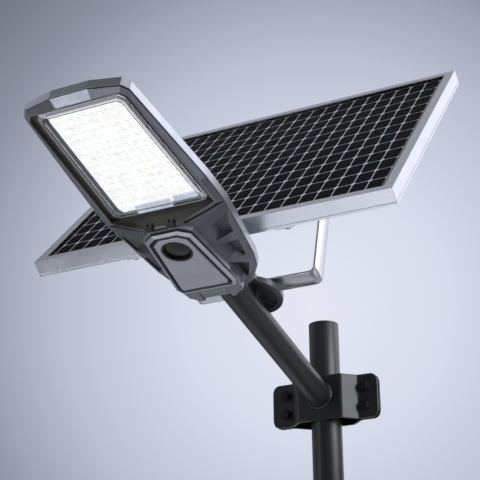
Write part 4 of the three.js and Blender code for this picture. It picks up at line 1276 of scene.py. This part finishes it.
class LAMP_OT_stage(bpy.types.Operator):
    """Floor, studio light and camera"""

    bl_idname = "lamp.stage"
    bl_label = "Stage"

    def execute(self, context):
        self.floor()
        self.camera()
        self.world()
        self.lights()
        bpy.context.scene.view_settings.view_transform = "Standard"
        return {"FINISHED"}

    def floor(self):
        mesh = bpy.data.meshes.new("floor")
        size, z = 40.0, -3.0
        mesh.from_pydata([(-size, -size, z), (size, -size, z), (size, size, z), (-size, size, z)],
                         [], [(0, 1, 2, 3)])
        floor = bpy.data.objects.new("floor", mesh)
        bpy.context.scene.collection.objects.link(floor)
        mesh.materials.append(plain_film("Pale studio floor paint", srgb("#dfe1e8"), (0.6, 0.7), 400))
        # the softboxes are behind the floor as well, so only the camera sees it
        floor.visible_glossy = floor.visible_diffuse = floor.visible_shadow = False

    def camera(self):
        data = bpy.data.cameras.new("camera")
        camera = bpy.data.objects.new("camera", data)
        bpy.context.scene.collection.objects.link(camera)
        data.sensor_width = 36.0
        data.lens = 94.2
        data.clip_end = 100.0
        azimuth, elevation, roll = math.radians(27.0), math.radians(-22.4), math.radians(-0.4)
        back = Vector((math.sin(azimuth) * math.cos(elevation),
                       -math.cos(azimuth) * math.cos(elevation), math.sin(elevation)))
        turn = (-back).to_track_quat("-Z", "Y").to_matrix().to_4x4()
        camera.matrix_world = (Matrix.Translation((0.9501, -2.2350, -0.4708)) @ turn
                               @ Matrix.Rotation(roll, 4, "Z"))
        bpy.context.scene.camera = camera

    def world(self):
        world = bpy.data.worlds.new("Studio")
        bpy.context.scene.world = world
        world.use_nodes = True
        tree = world.node_tree
        tree.nodes.clear()
        coords = add(tree, "ShaderNodeTexCoord").outputs["Generated"]
        bright = Vector((-0.375, 0.865, 0.33)).normalized()
        facing = add(tree, "ShaderNodeVectorMath", {0: coords, 1: bright}, operation="DOT_PRODUCT")
        angle = add(tree, "ShaderNodeMath", {0: facing.outputs["Value"]}, operation="ARCCOSINE")
        turn = add(tree, "ShaderNodeMath", {0: angle, 1: math.pi}, operation="DIVIDE")
        backdrop = add(tree, "ShaderNodeValToRGB", {"Fac": turn},
                       [(0.0, srgb("#e6e8f4")), (0.035, srgb("#d6daea")), (0.062, srgb("#bdc2d4")),
                        (0.09, srgb("#8f92a2")), (0.115, srgb("#6b6d78")), (0.25, srgb("#b4b8c4"))])
        total = None
        for towards, inner, outer, strength in SOFTBOXES:
            facing = add(tree, "ShaderNodeVectorMath", {0: coords, 1: Vector(towards).normalized()},
                         operation="DOT_PRODUCT")
            glow = add(tree, "ShaderNodeMapRange",
                       {"Value": facing.outputs["Value"], "From Min": math.cos(math.radians(outer)),
                        "From Max": math.cos(math.radians(inner)), "To Max": strength},
                       interpolation_type="SMOOTHSTEP")
            total = add(tree, "ShaderNodeMath", {0: total, 1: glow}, operation="ADD") if total else glow
        level = add(tree, "ShaderNodeMath", {0: total, 1: ROOM_LIGHT}, operation="ADD").outputs[0]
        studio = add(tree, "ShaderNodeVectorMath", {0: srgb("#f1f4ff"), "Scale": level},
                     operation="SCALE")
        path = add(tree, "ShaderNodeLightPath").outputs["Is Camera Ray"]
        # inputs 6 and 7 of a colour mix are its two colours, and output 2 is the result
        mix = add(tree, "ShaderNodeMix", {"Factor": path, 6: studio, 7: backdrop}, data_type="RGBA")
        background = add(tree, "ShaderNodeBackground", {"Color": mix.outputs[2], "Strength": 1.0})
        add(tree, "ShaderNodeOutputWorld", {"Surface": background})

    def lights(self):
        aim = Vector((0, -0.4, 0.4))
        lamps = [("key_right", (3.0, -1.0, 1.4), 1.6, 1.6, 26, "#ffffff"),
                 ("fill_left", (-2.4, -2.4, 0.2), 1.6, 1.6, 9, "#f4f6ff")]
        for name, place, width, height, power, tone in lamps:
            data = bpy.data.lights.new(name, "AREA")
            data.shape = "RECTANGLE"
            data.size, data.size_y = width, height
            data.energy = power
            data.color = srgb(tone)
            lamp = bpy.data.objects.new(name, data)
            bpy.context.scene.collection.objects.link(lamp)
            lamp.location = place
            lamp.rotation_mode = "QUATERNION"
            lamp.rotation_quaternion = (aim - Vector(place)).to_track_quat("-Z", "Y")
            lamp.visible_camera = False


class LAMP_PT_panel(bpy.types.Panel):
    """Builds the lamp piece by piece"""

    bl_idname = "LAMP_PT_panel"
    bl_label = "Solar street lamp"
    bl_space_type = "VIEW_3D"
    bl_region_type = "UI"
    bl_category = "Lamp"

    def draw(self, context):
        layout = self.layout
        for group in (context.scene.lamp_sizes, context.scene.lamp_colours):
            column = layout.column()
            for name in group.__annotations__:
                column.prop(group, name)
        for operator in OPERATORS:
            layout.operator(operator.bl_idname)


OPERATORS = (LAMP_OT_stage, LAMP_OT_mast, LAMP_OT_clamp, LAMP_OT_arm, LAMP_OT_shell,
             LAMP_OT_lens_frame, LAMP_OT_rear_base, LAMP_OT_cover,
             LAMP_OT_light, LAMP_OT_inside, LAMP_OT_swivel, LAMP_OT_bracket, LAMP_OT_panel,
             LAMP_OT_rails)
CLASSES = (LAMP_PG_sizes, LAMP_PG_colours, *OPERATORS, LAMP_PT_panel)


def register():
    for item in CLASSES:
        bpy.utils.register_class(item)
    bpy.types.Scene.lamp_sizes = PointerProperty(type=LAMP_PG_sizes)
    bpy.types.Scene.lamp_colours = PointerProperty(type=LAMP_PG_colours)


def unregister():
    del bpy.types.Scene.lamp_sizes
    del bpy.types.Scene.lamp_colours
    for item in reversed(CLASSES):
        bpy.utils.unregister_class(item)


def main():
    register()
    bpy.ops.lamp.stage()
    bpy.ops.lamp.mast()
    bpy.ops.lamp.clamp()
    bpy.ops.lamp.arm()
    bpy.ops.lamp.shell()
    bpy.ops.lamp.lens_frame()
    bpy.ops.lamp.rear_base()
    bpy.ops.lamp.cover()
    bpy.ops.lamp.light()
    bpy.ops.lamp.inside()
    bpy.ops.lamp.swivel()
    bpy.ops.lamp.bracket()
    bpy.ops.lamp.panel()
    bpy.ops.lamp.rails()


if __name__ == "__main__":
    main()
